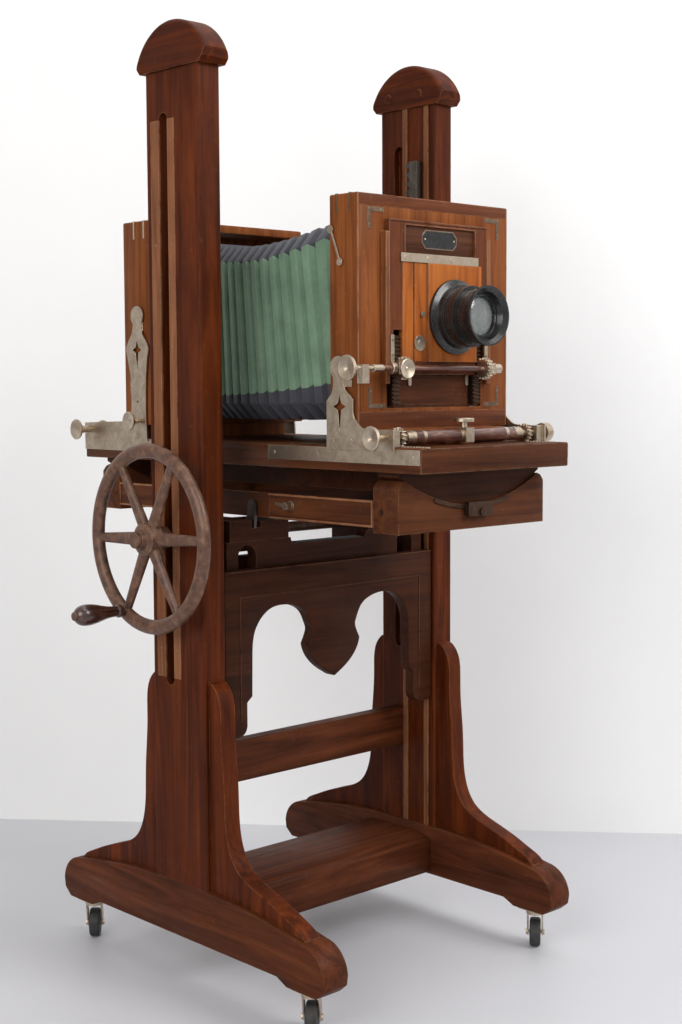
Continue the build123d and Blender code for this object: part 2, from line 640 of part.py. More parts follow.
def standard_box(face_y, back_y, opening_half, opening_low, opening_high):
    """A box wall round the bellows, with a frame and its opening on the face_y side."""
    low_y, high_y = min(face_y, back_y), max(face_y, back_y)
    block((-BOX_HALF, low_y, BOX_LOW), (BOX_HALF, high_y, BOX_TOP))
    inner = BOX_HALF - BOX_WALL
    inward = 12.0 if face_y < back_y else -12.0
    cut_low, cut_high = sorted((face_y + inward, back_y + inward))
    front_cut = (opening_half, low_y - 1, opening_low)
    back_cut = (-opening_half, high_y + 1, opening_high)
    block((-inner, cut_low, BOX_LOW + 10), (inner, cut_high, BOX_TOP - BOX_WALL), mode=Mode.SUBTRACT)
    block(front_cut, back_cut, mode=Mode.SUBTRACT)


with BuildPart() as front_box:
    standard_box(FRONT_FACE, FRONT_BACK, 108, 952, 1230)
    chamfer(front_box.faces().sort_by(Axis.Z)[-1].outer_wire().edges(), 1.5)
    block((-132, -330, BED_TOP + 0.4), (132, -240, BOX_LOW))
    block((-9, -372, BED_TOP + 0.6), (9, -330, 898.4))
    for side in (-1, 1):
        block((side * 115.3 - 3.9, FRONT_FACE - 9, 989), (side * 115.3 + 3.9, FRONT_FACE, 1221))
save(front_box, "front_box")

bracket_centre = -264.0
with BuildPart() as front_brackets:
    with BuildSketch(side_plane(PLATE_IN)):
        with BuildLine():
            Polyline((-235, 890), (-380, 890), (-380, 921))
            Line((-380, 921), (-330, 921))
            Spline((-330, 921), (-312, 924), (-299, 934), (-293, 950), tangents=[(1, 0), (0, 1)])
            Polyline((-293, 950), (-293, 966), (-288, 972))
            Spline((-288, 972), (-276, 982), (-272, 1000), tangents=[(0.9, 0.5), (0, 1)])
            ThreePointArc((-272, 1000), (-261, 1032), (-250, 1000))
            Spline((-250, 1000), (-249, 982), (-241, 970), tangents=[(0, -1), (1, -0.6)])
            Polyline((-241, 970), (-235, 963), (-235, 890))
        make_face()
        with BuildLine():
            Polyline((bracket_centre, 973), (bracket_centre - 4, 960), (bracket_centre - 14, 955),
                     (bracket_centre - 4, 950), (bracket_centre, 919), (bracket_centre + 4, 950),
                     (bracket_centre + 14, 955), (bracket_centre + 4, 960), close=True)
        make_face(mode=Mode.SUBTRACT)
        with Locations((FRONT_ROD_Y, FOCUS_ROD_Z)):
            Circle(JOURNAL_R + RUNNING, mode=Mode.SUBTRACT)
    extrude(amount=PLATE_THICK)
    block((BOX_HALF, -288, 985), (PLATE_IN, -248, 998))
    block((BOX_HALF, -288, 924), (PLATE_IN, -248, 916))
    for screw_y, screw_z in ((-261, 1018), (-247, 903), (-288, 903)):
        bar_x(4.2, PLATE_IN + PLATE_THICK, PLATE_IN + PLATE_THICK + 0.8, screw_y, screw_z)
    block((158, -376, BED_TOP + 0.6), (PLATE_IN, -344, 921))
    bar_x(JOURNAL_R + RUNNING, 157, PLATE_IN + 1, FRONT_ROD_Y, FOCUS_ROD_Z, mode=Mode.SUBTRACT)
    mirror(about=Plane.YZ)
save(front_brackets, "front_brackets")

with BuildPart() as front_trim:
    corners = ((-150, 1256, 1, -1), (150, 1256, -1, -1), (-148, 952, 1, 1), (150, 952, -1, 1))
    for corner_x, corner_z, side, rise in corners:
        with BuildSketch(front_plane(FRONT_FACE)):
            with BuildLine():
                Polyline((corner_x, corner_z), (corner_x + side * 36, corner_z),
                         (corner_x + side * 36, corner_z + rise * 7),
                         (corner_x + side * 7, corner_z + rise * 7),
                         (corner_x + side * 7, corner_z + rise * 33),
                         (corner_x, corner_z + rise * 33), close=True)
            make_face()
        extrude(amount=0.6)
    for side in (-1, 1):
        for spline_y in (-253, -282):
            block((side * 158, spline_y - 1.6, BOX_TOP), (side * 170, spline_y + 1.6, BOX_TOP + 0.6))
            block((side * BOX_HALF, spline_y - 1.6, 1247),
                  (side * (BOX_HALF + 0.6), spline_y + 1.6, BOX_TOP + 0.6))
save(front_trim, "front_trim")

with BuildPart() as lower_panel:
    block((-107.7, -292, 952.3), (107.7, -287, 1020))
    block((-78, -294, 956), (80, -292, 1002))
save(lower_panel, "lower_panel")

rise_pitch = 2 * pi * RISE_PITCH_R / RISE_TEETH
rise_line = RISE_ROD_Y + RISE_PITCH_R
rise_root = rise_line + 0.55 * RISE_TOOTH
rise_tip = rise_line - 0.38 * RISE_TOOTH
rise_start = RISE_ROD_Z - 9 * rise_pitch
rise_end = RISE_ROD_Z + 8 * rise_pitch
with BuildPart() as rise_racks:
    with BuildSketch(side_plane(RISE_RACK_X - 7.5)):
        with BuildLine():
            teeth = toothed_edge(rise_start, 17, rise_pitch, rise_root, rise_tip)
            face = [(height, along) for along, height in teeth]
            Polyline([(-292, rise_start), (rise_root, rise_start)] + face
                     + [(rise_root, rise_end), (-292, rise_end)], close=True)
        make_face()
    extrude(amount=15)
    mirror(about=Plane.YZ)
save(rise_racks, "rise_racks")

for label, button_x in (("turn_button_left", -55.0), ("turn_button_right", 77.0)):
    with BuildPart() as turn_button:
        bar_y(3.0, -297.5, -294.1, button_x, 1001)
        with BuildSketch(front_plane(-294.3)):
            with Locations((button_x, 995)):
                SlotOverall(18, 6.5, rotation=90)
        extrude(amount=2.4)
    save(turn_button, label)

with BuildPart() as side_hook:
    HOOK_TOP = (-242.5, 1224.0)
    HOOK_END = (-263.0, 1174.0)
    for spot in (HOOK_TOP, HOOK_END):
        bar_x(6.0, -BOX_HALF - 3.6, -BOX_HALF - 0.3, spot[0], spot[1])
    with BuildSketch(side_plane(-BOX_HALF - 2.8)):
        with BuildLine():
            Polyline((-240.2, 1224.8), (-244.8, 1223.0), (-265.3, 1173.2), (-260.7, 1175.0), close=True)
        make_face()
    extrude(amount=1.8)
    bar_x(2.6, -BOX_HALF - 5.2, -BOX_HALF - 3.5, HOOK_END[0], HOOK_END[1])
save(side_hook, "side_hook")

with BuildPart() as focus_clamp_block:
    block((-9, -374, 898.45), (9, -346, 921))
    bar_x(FOCUS_ROD_R + RUNNING, -10, 10, FRONT_ROD_Y, FOCUS_ROD_Z, mode=Mode.SUBTRACT)
    with Locations((0, FRONT_ROD_Y, 921)):
        Cylinder(3.05, 8, mode=Mode.SUBTRACT)
save(focus_clamp_block, "focus_clamp_block")

with BuildPart() as focus_clamp_screw:
    with Locations((0, FRONT_ROD_Y, 926)):
        Cylinder(3.0, 12)
    with Locations((0, FRONT_ROD_Y, 925.5)):
        Cylinder(5.0, 8)
    with Locations((0, FRONT_ROD_Y, 933)):
        Cylinder(16.0, 6)
    chamfer(focus_clamp_screw.edges().sort_by(Axis.Z)[-1], 1.2)
save(focus_clamp_screw, "focus_clamp_screw")

with BuildPart() as bellows_front:
    block((-BELLOWS_HALF, BELLOWS_MIDDLE - 0.1, BELLOWS_LOW), (BELLOWS_HALF, -284, BELLOWS_TOP))
save(bellows_front, "bellows_front")

# ---------------------------------------------------------------- rising front and lens
SLOT_TOP = 1072.0
with BuildPart() as rising_frame:
    block((-RISE_HALF, RISE_FACE, RISE_LOW), (RISE_HALF, FRONT_FACE - 0.3, RISE_TOP))
    block((-83, RISE_FACE - 1, 1023), (94, FRONT_FACE, 1176), mode=Mode.SUBTRACT)
    block((-77, RISE_FACE - 1, 1190), (82, RISE_FACE + 4, 1232), mode=Mode.SUBTRACT)
    block((-83, RISE_FACE - 1, RISE_LOW - 1), (-103, FRONT_FACE, SLOT_TOP), mode=Mode.SUBTRACT)
    block((83, RISE_FACE - 1, RISE_LOW - 1), (103, FRONT_FACE, SLOT_TOP), mode=Mode.SUBTRACT)
save(rising_frame, "rising_frame")

LENS_SEAT_R = 41.0
with BuildPart() as lens_board:
    block((-82.9, RISE_FACE, 1023.1), (82.5, FRONT_FACE - 0.3, 1175.9))
    block((-28, RISE_FACE - 4, 1023.1), (82.5, RISE_FACE, 1175.9))
    block((82.5, RISE_FACE - 4, SLOT_TOP + 1), (93.9, FRONT_FACE - 0.3, 1175.9))
    block((-59.5, RISE_FACE - 0.1, 1023), (-57, RISE_FACE + 2, 1176), mode=Mode.SUBTRACT)
    bar_y(LENS_SEAT_R, RISE_FACE - 6, FRONT_FACE + 2, LENS_X, LENS_Z, mode=Mode.SUBTRACT)
save(lens_board, "lens_board")

with BuildPart() as rise_fittings:
    block((-88, RISE_FACE - 3, 1176.1), (88, RISE_FACE - 0.02, 1189.5))
    for screw_x in (-79, -28, 24, 79):
        bar_y(3.2, RISE_FACE - 3.5, RISE_FACE - 3, screw_x, 1182.8)
    for side in (-1, 1):
        block((side * 107.3 - 3.6, RISE_FACE - 3, 1010), (side * 107.3 + 3.6, RISE_FACE - 0.02, 1064))
        block((side * 107.3 - 3.6, RISE_ROD_Y - 9, 1004), (side * 107.3 + 3.6, RISE_FACE - 0.02, 1022))
        bore = RISE_ROD_R + RUNNING
        bar_x(bore, side * 107.3 - 5, side * 107.3 + 5, RISE_ROD_Y, RISE_ROD_Z, mode=Mode.SUBTRACT)
    bar_y(12.0, RISE_FACE - 2.2, RISE_FACE, -46, 1052)
    bar_y(4.5, RISE_FACE - 3.4, RISE_FACE, -46, 1052)
    bar_y(4.2, RISE_FACE - 4.5, RISE_FACE, -41, 1097)
save(rise_fittings, "rise_fittings")

with BuildPart() as rise_shaft:
    dish_knob(-215, RISE_ROD_Y, RISE_ROD_Z, 19.5)
    bar_x(RISE_ROD_R, -198, 128, RISE_ROD_Y, RISE_ROD_Z)
    block((-186, RISE_ROD_Y - 6, 990), (-172, RISE_ROD_Y + 6, 1018))
    bar_x(8, 112, 128, RISE_ROD_Y, RISE_ROD_Z)
    for pinion_x in (-RISE_RACK_X - 6, RISE_RACK_X - 6):
        with BuildSketch(Plane(origin=(pinion_x, RISE_ROD_Y, RISE_ROD_Z), x_dir=(0, 1, 0), z_dir=(1, 0, 0))):
            Polygon(pinion_corners(RISE_TEETH, RISE_PITCH_R, RISE_TOOTH, 0.0), align=None)
        extrude(amount=12)
save(rise_shaft, "rise_shaft")

with BuildPart() as lens_barrel:
    with BuildSketch(Plane(origin=(LENS_X, RISE_FACE - 4, LENS_Z), x_dir=(1, 0, 0), z_dir=(0, 0, 1))):
        with BuildLine():
            Polyline((34, 26), (34, -60), (38, -68), (44, -74), (46.5, -74), (46.5, -69), (43, -62),
                     (41.5, -56), (41.5, -41), (43.9, -41), (43.9, -31), (46.5, -31), (46.5, -20),
                     (49.5, -18), (49.5, -9), (54, -7), (58.5, -5.5), (58.5, -0.02), (40.9, -0.02),
                     (40.9, 20), (38, 26), close=True)
        make_face()
    revolve(axis=Axis((LENS_X, 0, LENS_Z), (0, 1, 0)))
    with BuildSketch(front_plane(RISE_FACE - 4 - 30)):
        with Locations((LENS_X, LENS_Z)):
            Circle(35)
            Circle(15, mode=Mode.SUBTRACT)
    extrude(amount=1.5)
save(lens_barrel, "lens_barrel")

with BuildPart() as aperture_ring:
    with BuildSketch(front_plane(RISE_FACE - 4 - 31.5)):
        with Locations((LENS_X, LENS_Z)):
            Circle(47.5)
            Circle(43.9 + RUNNING, mode=Mode.SUBTRACT)
    extrude(amount=9)
save(aperture_ring, "aperture_ring")

GLASS_R = 33.9
with BuildPart() as lens_glass:
    for glass_y, outward, bulge in ((RISE_FACE - 56, -1, 7.0), (RISE_FACE + 10, 1, 5.0)):
        ball_r = (GLASS_R ** 2 + bulge ** 2) / (2 * bulge)
        half_way = sqrt(ball_r ** 2 - (GLASS_R / 2) ** 2) - (ball_r - bulge)
        with BuildSketch(Plane(origin=(LENS_X, glass_y, LENS_Z), x_dir=(1, 0, 0), z_dir=(0, 0, 1))):
            with BuildLine():
                Polyline((0, outward * bulge), (0, -outward * 4), (GLASS_R, -outward * 4), (GLASS_R, 0))
                ThreePointArc((GLASS_R, 0), (GLASS_R / 2, outward * half_way), (0, outward * bulge))
            make_face()
        revolve(axis=Axis((LENS_X, 0, LENS_Z), (0, 1, 0)))
save(lens_glass, "lens_glass")

# ---------------------------------------------------------------- rear standard and back
with BuildPart() as rear_box:
    standard_box(REAR_BACK, REAR_FACE, 140, 945, 1250)
    chamfer(rear_box.faces().sort_by(Axis.Z)[-1].outer_wire().edges(), 1.5)
    block((-132, 215, BED_TOP + 0.4), (132, 302, BOX_LOW))
save(rear_box, "rear_box")

BACK_Y = 302.4
BACK_HINGE_Y = 306.2
BACK_HINGE_Z = 927.5
HINGE_PLACES = (-105.0, 105.0)
HINGE_PIN_R = 1.5
with BuildPart() as rear_brackets:
    with BuildSketch(side_plane(PLATE_IN)):
        with BuildLine():
            Polyline((232, 890), (425, 890), (425, 921), (300, 925))
            Spline((300, 925), (279, 940), (279, 990), (291, 1052), tangents=[(-1, 0.1), (0.3, 1)])
            Line((291, 1052), (288, 1060))
            Spline((288, 1060), (273, 1080), (269, 1097), tangents=[(-0.6, 1), (-0.1, 1)])
            ThreePointArc((269, 1097), (258, 1128), (247, 1097))
            Spline((247, 1097), (243, 1080), (228, 1060), tangents=[(-0.1, -1), (-0.6, -1)])
            Line((228, 1060), (225, 1052))
            Spline((225, 1052), (234, 990), (232, 890), tangents=[(0.3, -1), (-0.1, -1)])
        make_face()
        with BuildLine():
            Polyline((258, 1068), (254, 1056), (245, 1051), (254, 1046), (258, 1012), (262, 1046),
                     (271, 1051), (262, 1056), close=True)
        make_face(mode=Mode.SUBTRACT)
        with Locations((REAR_ROD_Y, FOCUS_ROD_Z)):
            Circle(JOURNAL_R + RUNNING, mode=Mode.SUBTRACT)
    extrude(amount=PLATE_THICK)
    block((BOX_HALF, 244, 1085), (PLATE_IN, 272, 1100))
    block((BOX_HALF, 240, 922), (PLATE_IN, 276, 935))
    bar_x(6.5, PLATE_IN + PLATE_THICK, PLATE_IN + PLATE_THICK + 1.2, 258, 1112)
    block((158, 396, BED_TOP + 0.6), (PLATE_IN, 426, 921))
    bar_x(JOURNAL_R + RUNNING, 157, PLATE_IN + 1, REAR_ROD_Y, FOCUS_ROD_Z, mode=Mode.SUBTRACT)
    mirror(about=Plane.YZ)
    for spline_y in (241, 270):
        for side in (-1, 1):
            block((side * 158, spline_y - 1.6, BOX_TOP), (side * 170, spline_y + 1.6, BOX_TOP + 0.6))
            block((side * BOX_HALF, spline_y - 1.6, 1245),
                  (side * (BOX_HALF + 0.6), spline_y + 1.6, BOX_TOP + 0.6))
    for hinge_x in HINGE_PLACES:
        bar_x(HINGE_PIN_R, hinge_x - 26, hinge_x + 26, BACK_HINGE_Y, BACK_HINGE_Z)
        for side in (-1, 1):
            block((hinge_x + side * 20.3, REAR_BACK + 0.05, BACK_HINGE_Z - 3.5),
                  (hinge_x + side * 26, BACK_HINGE_Y + 2.6, BACK_HINGE_Z + 2.6))
save(rear_brackets, "rear_brackets")

with BuildPart() as rear_lock_knob:
    dish_knob(-203, 251, 926, 17)
    bar_x(4, -187, -PLATE_IN - PLATE_THICK - 0.3, 251, 926)
save(rear_lock_knob, "rear_lock_knob")

with BuildPart() as bellows_rear:
    block((-BELLOWS_HALF, BELLOWS_MIDDLE + 0.1, BELLOWS_LOW), (BELLOWS_HALF, 288, BELLOWS_TOP))
save(bellows_rear, "bellows_rear")

with BuildPart() as back_frame:
    block((-158, BACK_Y, 932), (158, BACK_Y + 16, 1264))
    block((-132, BACK_Y - 1, 958), (132, BACK_Y + 17, 1238), mode=Mode.SUBTRACT)
    chamfer(back_frame.faces().sort_by(Axis.Y)[-1].edges(), 1.5)
    for hinge_x in HINGE_PLACES:
        block((hinge_x - 20, BACK_HINGE_Y - 3.5, BACK_HINGE_Z), (hinge_x + 20, BACK_HINGE_Y + 3.5, 932.5))
        bar_x(3.5, hinge_x - 20, hinge_x + 20, BACK_HINGE_Y, BACK_HINGE_Z)
        bore = HINGE_PIN_R + RUNNING
        bar_x(bore, hinge_x - 21, hinge_x + 21, BACK_HINGE_Y, BACK_HINGE_Z, mode=Mode.SUBTRACT)
save(back_frame, "back_frame")

with BuildPart() as ground_glass:
    block((-131.8, BACK_Y + 4, 958.2), (131.8, BACK_Y + 7, 1237.8))
save(ground_glass, "ground_glass")
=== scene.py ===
"""Looks of a wooden studio view camera on its two-column lifting stand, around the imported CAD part."""
import json
from math import cos, pi, radians, sin

import bmesh
import bpy
from mathutils import Matrix, Vector

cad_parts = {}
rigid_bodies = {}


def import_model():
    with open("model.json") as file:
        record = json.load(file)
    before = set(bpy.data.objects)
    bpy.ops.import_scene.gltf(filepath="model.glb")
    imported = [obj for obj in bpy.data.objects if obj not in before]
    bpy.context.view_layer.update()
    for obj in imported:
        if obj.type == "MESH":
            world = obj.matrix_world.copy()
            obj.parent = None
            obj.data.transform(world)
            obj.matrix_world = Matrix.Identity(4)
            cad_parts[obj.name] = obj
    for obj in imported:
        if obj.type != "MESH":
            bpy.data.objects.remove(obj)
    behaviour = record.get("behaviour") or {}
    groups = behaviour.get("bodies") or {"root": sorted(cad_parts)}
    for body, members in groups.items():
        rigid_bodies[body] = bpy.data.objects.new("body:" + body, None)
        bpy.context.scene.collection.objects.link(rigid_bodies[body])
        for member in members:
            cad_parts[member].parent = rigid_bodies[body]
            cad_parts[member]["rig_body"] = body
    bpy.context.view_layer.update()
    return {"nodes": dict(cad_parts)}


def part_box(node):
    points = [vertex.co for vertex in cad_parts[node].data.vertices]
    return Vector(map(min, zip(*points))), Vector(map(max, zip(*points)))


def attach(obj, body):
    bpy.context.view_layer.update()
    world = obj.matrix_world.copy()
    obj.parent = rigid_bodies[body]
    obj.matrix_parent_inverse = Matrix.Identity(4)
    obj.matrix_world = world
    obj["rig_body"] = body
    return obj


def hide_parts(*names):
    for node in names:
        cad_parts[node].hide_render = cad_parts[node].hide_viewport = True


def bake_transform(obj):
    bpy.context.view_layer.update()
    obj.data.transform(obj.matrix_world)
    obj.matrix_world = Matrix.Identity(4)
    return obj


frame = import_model()
nodes = frame["nodes"]
MM = 0.001
STAND_X = 0.5 * (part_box("column_left")[0][0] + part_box("column_right")[1][0])


def at(x, y, z):
    """A point in the frame from millimetres measured from the stand's middle at the floor."""
    return Vector((STAND_X + x * MM, y * MM, z * MM))


# ---------------------------------------------------------------- camera, light and room
CAMERA_PLACE = (-1780.3, -1975.2, 988.3)
CAMERA_YAW = 0.754
CAMERA_PITCH = -0.0827
CAMERA_ROLL = -0.0047
CAMERA_LENS = 54.0
WALL_NORMAL_ANGLE = 0.848
WALL_DISTANCE = 722.0
WALL_HEIGHT = 6
ROOM_HALF = 9
# Name, place and target in millimetres, size across in metres, power in watts, colour.
LIGHTS = (
    ("key", (800, -2800, 2700), (0, 0, 900), 1.7, 64, (1, 1, 1)),
    ("fill", (-2900, -900, 1900), (0, 0, 800), 2.2, 44, (1.0, 0.99, 0.97)),
    ("overhead", (300, -600, 3400), (0, 0, 0), 2.4, 26, (1, 1, 1)),
)
WORLD_COLOUR = (1.0, 0.985, 0.965, 1)
WORLD_STRENGTH = 0.60


def make_camera():
    camera = bpy.data.cameras.new("camera")
    camera.lens = CAMERA_LENS
    camera.sensor_width = 36.0
    camera.clip_end = 50
    holder = bpy.data.objects.new("camera", camera)
    bpy.context.scene.collection.objects.link(holder)
    turn = (Matrix.Rotation(-CAMERA_YAW, 4, "Z") @ Matrix.Rotation(0.5 * pi + CAMERA_PITCH, 4, "X")
            @ Matrix.Rotation(CAMERA_ROLL, 4, "Z"))
    holder.matrix_world = Matrix.Translation(at(*CAMERA_PLACE)) @ turn
    bpy.context.scene.camera = holder


def area_light(name, place, target, size, power, colour):
    light = bpy.data.lights.new(name, "AREA")
    light.shape = "DISK"
    light.size = size
    light.energy = power
    light.color = colour
    holder = bpy.data.objects.new(name, light)
    bpy.context.scene.collection.objects.link(holder)
    start, end = at(*place), at(*target)
    holder.matrix_world = (Matrix.Translation(start)
                           @ (end - start).to_track_quat("-Z", "Y").to_matrix().to_4x4())


def make_light():
    for light in LIGHTS:
        area_light(*light)
    world = bpy.data.worlds.new("room")
    bpy.context.scene.world = world
    world.use_nodes = True
    background = world.node_tree.nodes["Background"]
    background.inputs["Color"].default_value = WORLD_COLOUR
    background.inputs["Strength"].default_value = WORLD_STRENGTH
    view = bpy.context.scene.view_settings
    view.view_transform = "Standard"
    view.look = "None"


# ---------------------------------------------------------------- small node helpers
class Paint:
    """Builds one procedural material, with its nodes placed in the object's own coordinates."""

    def __init__(self, name):
        self.material = bpy.data.materials.new(name)
        self.material.use_nodes = True
        self.tree = self.material.node_tree
        self.shader = self.tree.nodes["Principled BSDF"]
        self.place = self.tree.nodes.new("ShaderNodeTexCoord").outputs["Object"]

    def link(self, source, target):
        self.tree.links.new(source, target)

    def set(self, **values):
        for name, value in values.items():
            self.shader.inputs[name.replace("_", " ")].default_value = value

    def stretched(self, scale, shift=(0, 0, 0)):
        node = self.tree.nodes.new("ShaderNodeMapping")
        node.inputs["Scale"].default_value = scale
        node.inputs["Location"].default_value = shift
        self.link(self.place, node.inputs["Vector"])
        return node.outputs["Vector"]

    def noise(self, where, scale, detail=4.0, rough=0.55, distortion=0.0):
        node = self.tree.nodes.new("ShaderNodeTexNoise")
        node.inputs["Scale"].default_value = scale
        node.inputs["Detail"].default_value = detail
        node.inputs["Roughness"].default_value = rough
        node.inputs["Distortion"].default_value = distortion
        self.link(where, node.inputs["Vector"])
        return node.outputs["Fac"]

    def ramp(self, source, *stops):
        node = self.tree.nodes.new("ShaderNodeValToRGB")
        edge = node.color_ramp.elements
        while len(edge) < len(stops):
            edge.new(0.5)
        for element, (position, colour) in zip(edge, stops):
            element.position = position
            element.color = (*colour, 1) if isinstance(colour, tuple) else (colour, colour, colour, 1)
        self.link(source, node.inputs["Fac"])
        return node.outputs["Color"]

    def mix(self, share, first, second, way="MIX"):
        node = self.tree.nodes.new("ShaderNodeMix")
        node.data_type = "RGBA"
        node.blend_type = way
        for socket, value in ((node.inputs[0], share), (node.inputs[6], first), (node.inputs[7], second)):
            if isinstance(value, bpy.types.NodeSocket):
                self.link(value, socket)
            elif isinstance(value, tuple):
                socket.default_value = (*value, 1)
            else:
                socket.default_value = value
        return node.outputs[2]

    def maths(self, way, first, second):
        node = self.tree.nodes.new("ShaderNodeMath")
        node.operation = way
        for socket, value in zip(node.inputs, (first, second)):
            if isinstance(value, bpy.types.NodeSocket):
                self.link(value, socket)
            else:
                socket.default_value = value
        return node.outputs[0]

    def edges(self, radius):
        """1 on arrises and 0 on flats, from how far the rounded normal leaves the true one."""
        bevel = self.tree.nodes.new("ShaderNodeBevel")
        bevel.samples = 4
        bevel.inputs["Radius"].default_value = radius
        true = self.tree.nodes.new("ShaderNodeNewGeometry")
        dot = self.tree.nodes.new("ShaderNodeVectorMath")
        dot.operation = "DOT_PRODUCT"
        self.link(bevel.outputs["Normal"], dot.inputs[0])
        self.link(true.outputs["Normal"], dot.inputs[1])
        return self.maths("MULTIPLY", self.maths("SUBTRACT", 1.0, dot.outputs["Value"]), 4.0)

    def colour(self, source):
        self.link(source, self.shader.inputs["Base Color"])

    def roughness(self, source, *stops):
        self.link(self.ramp(source, *stops), self.shader.inputs["Roughness"])

    def bump(self, height, strength, distance, round_edge=0.0):
        node = self.tree.nodes.new("ShaderNodeBump")
        node.inputs["Strength"].default_value = strength
        node.inputs["Distance"].default_value = distance
        self.link(height, node.inputs["Height"])
        if round_edge:
            bevel = self.tree.nodes.new("ShaderNodeBevel")
            bevel.samples = 4
            bevel.inputs["Radius"].default_value = round_edge
            self.link(bevel.outputs["Normal"], node.inputs["Normal"])
        self.link(node.outputs["Normal"], self.shader.inputs["Normal"])


# ---------------------------------------------------------------- materials
made = {}


def once(maker):
    """Each material is made the first time that it is asked for."""
    def ask(*words):
        key = (maker.__name__, *words)
        if key not in made:
            made[key] = maker(*words)
        return made[key]
    return ask


GRAIN = {"X": (1.1, 16, 16), "Y": (16, 1.1, 16), "Z": (16, 16, 1.1)}
PORES = {"X": (5, 330, 330), "Y": (330, 5, 330), "Z": (330, 330, 5)}
# Four colours each: the light, middle and dark of the figure, and the bare wood on worn arrises.
WOODS = {
    "camera": ((0.255, 0.080, 0.020), (0.172, 0.048, 0.0115), (0.085, 0.0225, 0.0062), (0.42, 0.19, 0.085)),
    "lens": ((0.46, 0.145, 0.030), (0.34, 0.094, 0.018), (0.180, 0.046, 0.010), (0.52, 0.24, 0.11)),
    "stand": ((0.135, 0.027, 0.0042), (0.070, 0.013, 0.0026), (0.027, 0.0054, 0.0016), (0.30, 0.12, 0.048)),
    "foot": ((0.128, 0.0350, 0.0120), (0.076, 0.0200, 0.0072), (0.030, 0.0088, 0.0040), (0.29, 0.145, 0.078)),
    "dark": ((0.064, 0.0190, 0.0075), (0.042, 0.0122, 0.0050), (0.018, 0.0062, 0.0032), (0.17, 0.075, 0.042)),
    "panel": ((0.105, 0.038, 0.018), (0.068, 0.0235, 0.0115), (0.032, 0.0115, 0.0065), (0.24, 0.12, 0.075)),
    "rail": ((0.170, 0.052, 0.020), (0.112, 0.033, 0.0130), (0.052, 0.0160, 0.0072), (0.36, 0.18, 0.105)),
    "bed": ((0.120, 0.038, 0.0130), (0.074, 0.0225, 0.0085), (0.032, 0.0108, 0.0050), (0.32, 0.18, 0.095)),
    # The worn tone is pale rubbed wood on the wear strips and beads; on the guide faces and the lens panel's
    # edge strip it is a painted highlight.
    "worn": ((0.30, 0.125, 0.055), (0.21, 0.080, 0.036), (0.095, 0.036, 0.018), (0.42, 0.23, 0.13)),
}


@once
def wood(tone, axis):
    light, middle, dark, bare = WOODS[tone]
    paint = Paint(f"{tone}_wood_{axis.lower()}")
    along = paint.stretched(GRAIN[axis])
    wander = paint.noise(along, 2.1, 7.0, 0.62, 1.4)
    figure = paint.ramp(wander, (0.26, dark), (0.47, middle), (0.70, light))
    pore = paint.noise(paint.stretched(PORES[axis]), 1.0, 2.0, 0.5)
    lines = paint.ramp(pore, (0.34, 0.0), (0.47, 1.0))
    colour = paint.mix(0.20, figure, paint.mix(1.0, figure, lines, "MULTIPLY"))
    patches = paint.ramp(paint.noise(paint.place, 5.5, 5.0, 0.6), (0.33, 0.74), (0.60, 1.10))
    colour = paint.mix(0.75, colour, paint.mix(1.0, colour, patches, "MULTIPLY"))
    rubbed = paint.noise(paint.place, 38.0, 6.0, 0.7)
    wear = paint.maths("MULTIPLY", paint.edges(0.0028), paint.ramp(rubbed, (0.40, 0.0), (0.62, 1.0)))
    colour = paint.mix(paint.maths("MINIMUM", wear, 0.85), colour, bare)
    scuffs = paint.noise(paint.stretched((7, 7, 7), (3, 1, 2)), 9.0, 9.0, 0.72)
    scuff = paint.ramp(scuffs, (0.60, 0.0), (0.72, 1.0))
    colour = paint.mix(paint.maths("MULTIPLY", scuff, 0.16), colour, bare)
    paint.colour(colour)
    rough = paint.ramp(paint.noise(paint.place, 21.0, 6.0, 0.65), (0.30, 0.42), (0.75, 0.66))
    paint.link(rough, paint.shader.inputs["Roughness"])
    paint.set(Coat_Weight=0.05, Coat_Roughness=0.30, Specular_IOR_Level=0.07)
    paint.bump(paint.mix(0.35, wander, pore), 0.16, 0.0005, 0.0016)
    return paint.material


@once
def metal(name, colour, tarnish, smooth, coarse, share):
    paint = Paint(name)
    cloud = paint.noise(paint.place, 46.0, 8.0, 0.68, 0.6)
    spots = paint.ramp(cloud, (0.38, 0.0), (0.66, 1.0))
    shade = paint.mix(paint.maths("MULTIPLY", spots, share), colour, tarnish)
    bright = tuple(min(1, c * 1.35) for c in colour)
    shade = paint.mix(paint.maths("MINIMUM", paint.edges(0.0012), 0.6), shade, bright)
    paint.colour(shade)
    paint.roughness(cloud, (0.30, smooth), (0.72, coarse))
    paint.set(Metallic=1.0)
    paint.bump(paint.noise(paint.place, 210.0, 5.0, 0.6), 0.20, 0.0003, 0.0007)
    return paint.material


def nickel():
    return metal("aged_nickel", (0.58, 0.49, 0.385), (0.27, 0.185, 0.120), 0.26, 0.46, 0.62)


def dull_nickel():
    return metal("tarnished_nickel", (0.30, 0.235, 0.175), (0.115, 0.070, 0.044), 0.38, 0.60, 0.85)


def aged_bronze():
    return metal("darkened_inlay", (0.200, 0.140, 0.095), (0.075, 0.045, 0.030), 0.38, 0.60, 0.7)


def bronzed():
    return metal("bronzed_iron", (0.105, 0.062, 0.042), (0.042, 0.022, 0.015), 0.36, 0.62, 0.8)


def steel():
    return metal("oiled_steel", (0.13, 0.115, 0.10), (0.055, 0.035, 0.026), 0.34, 0.62, 0.8)


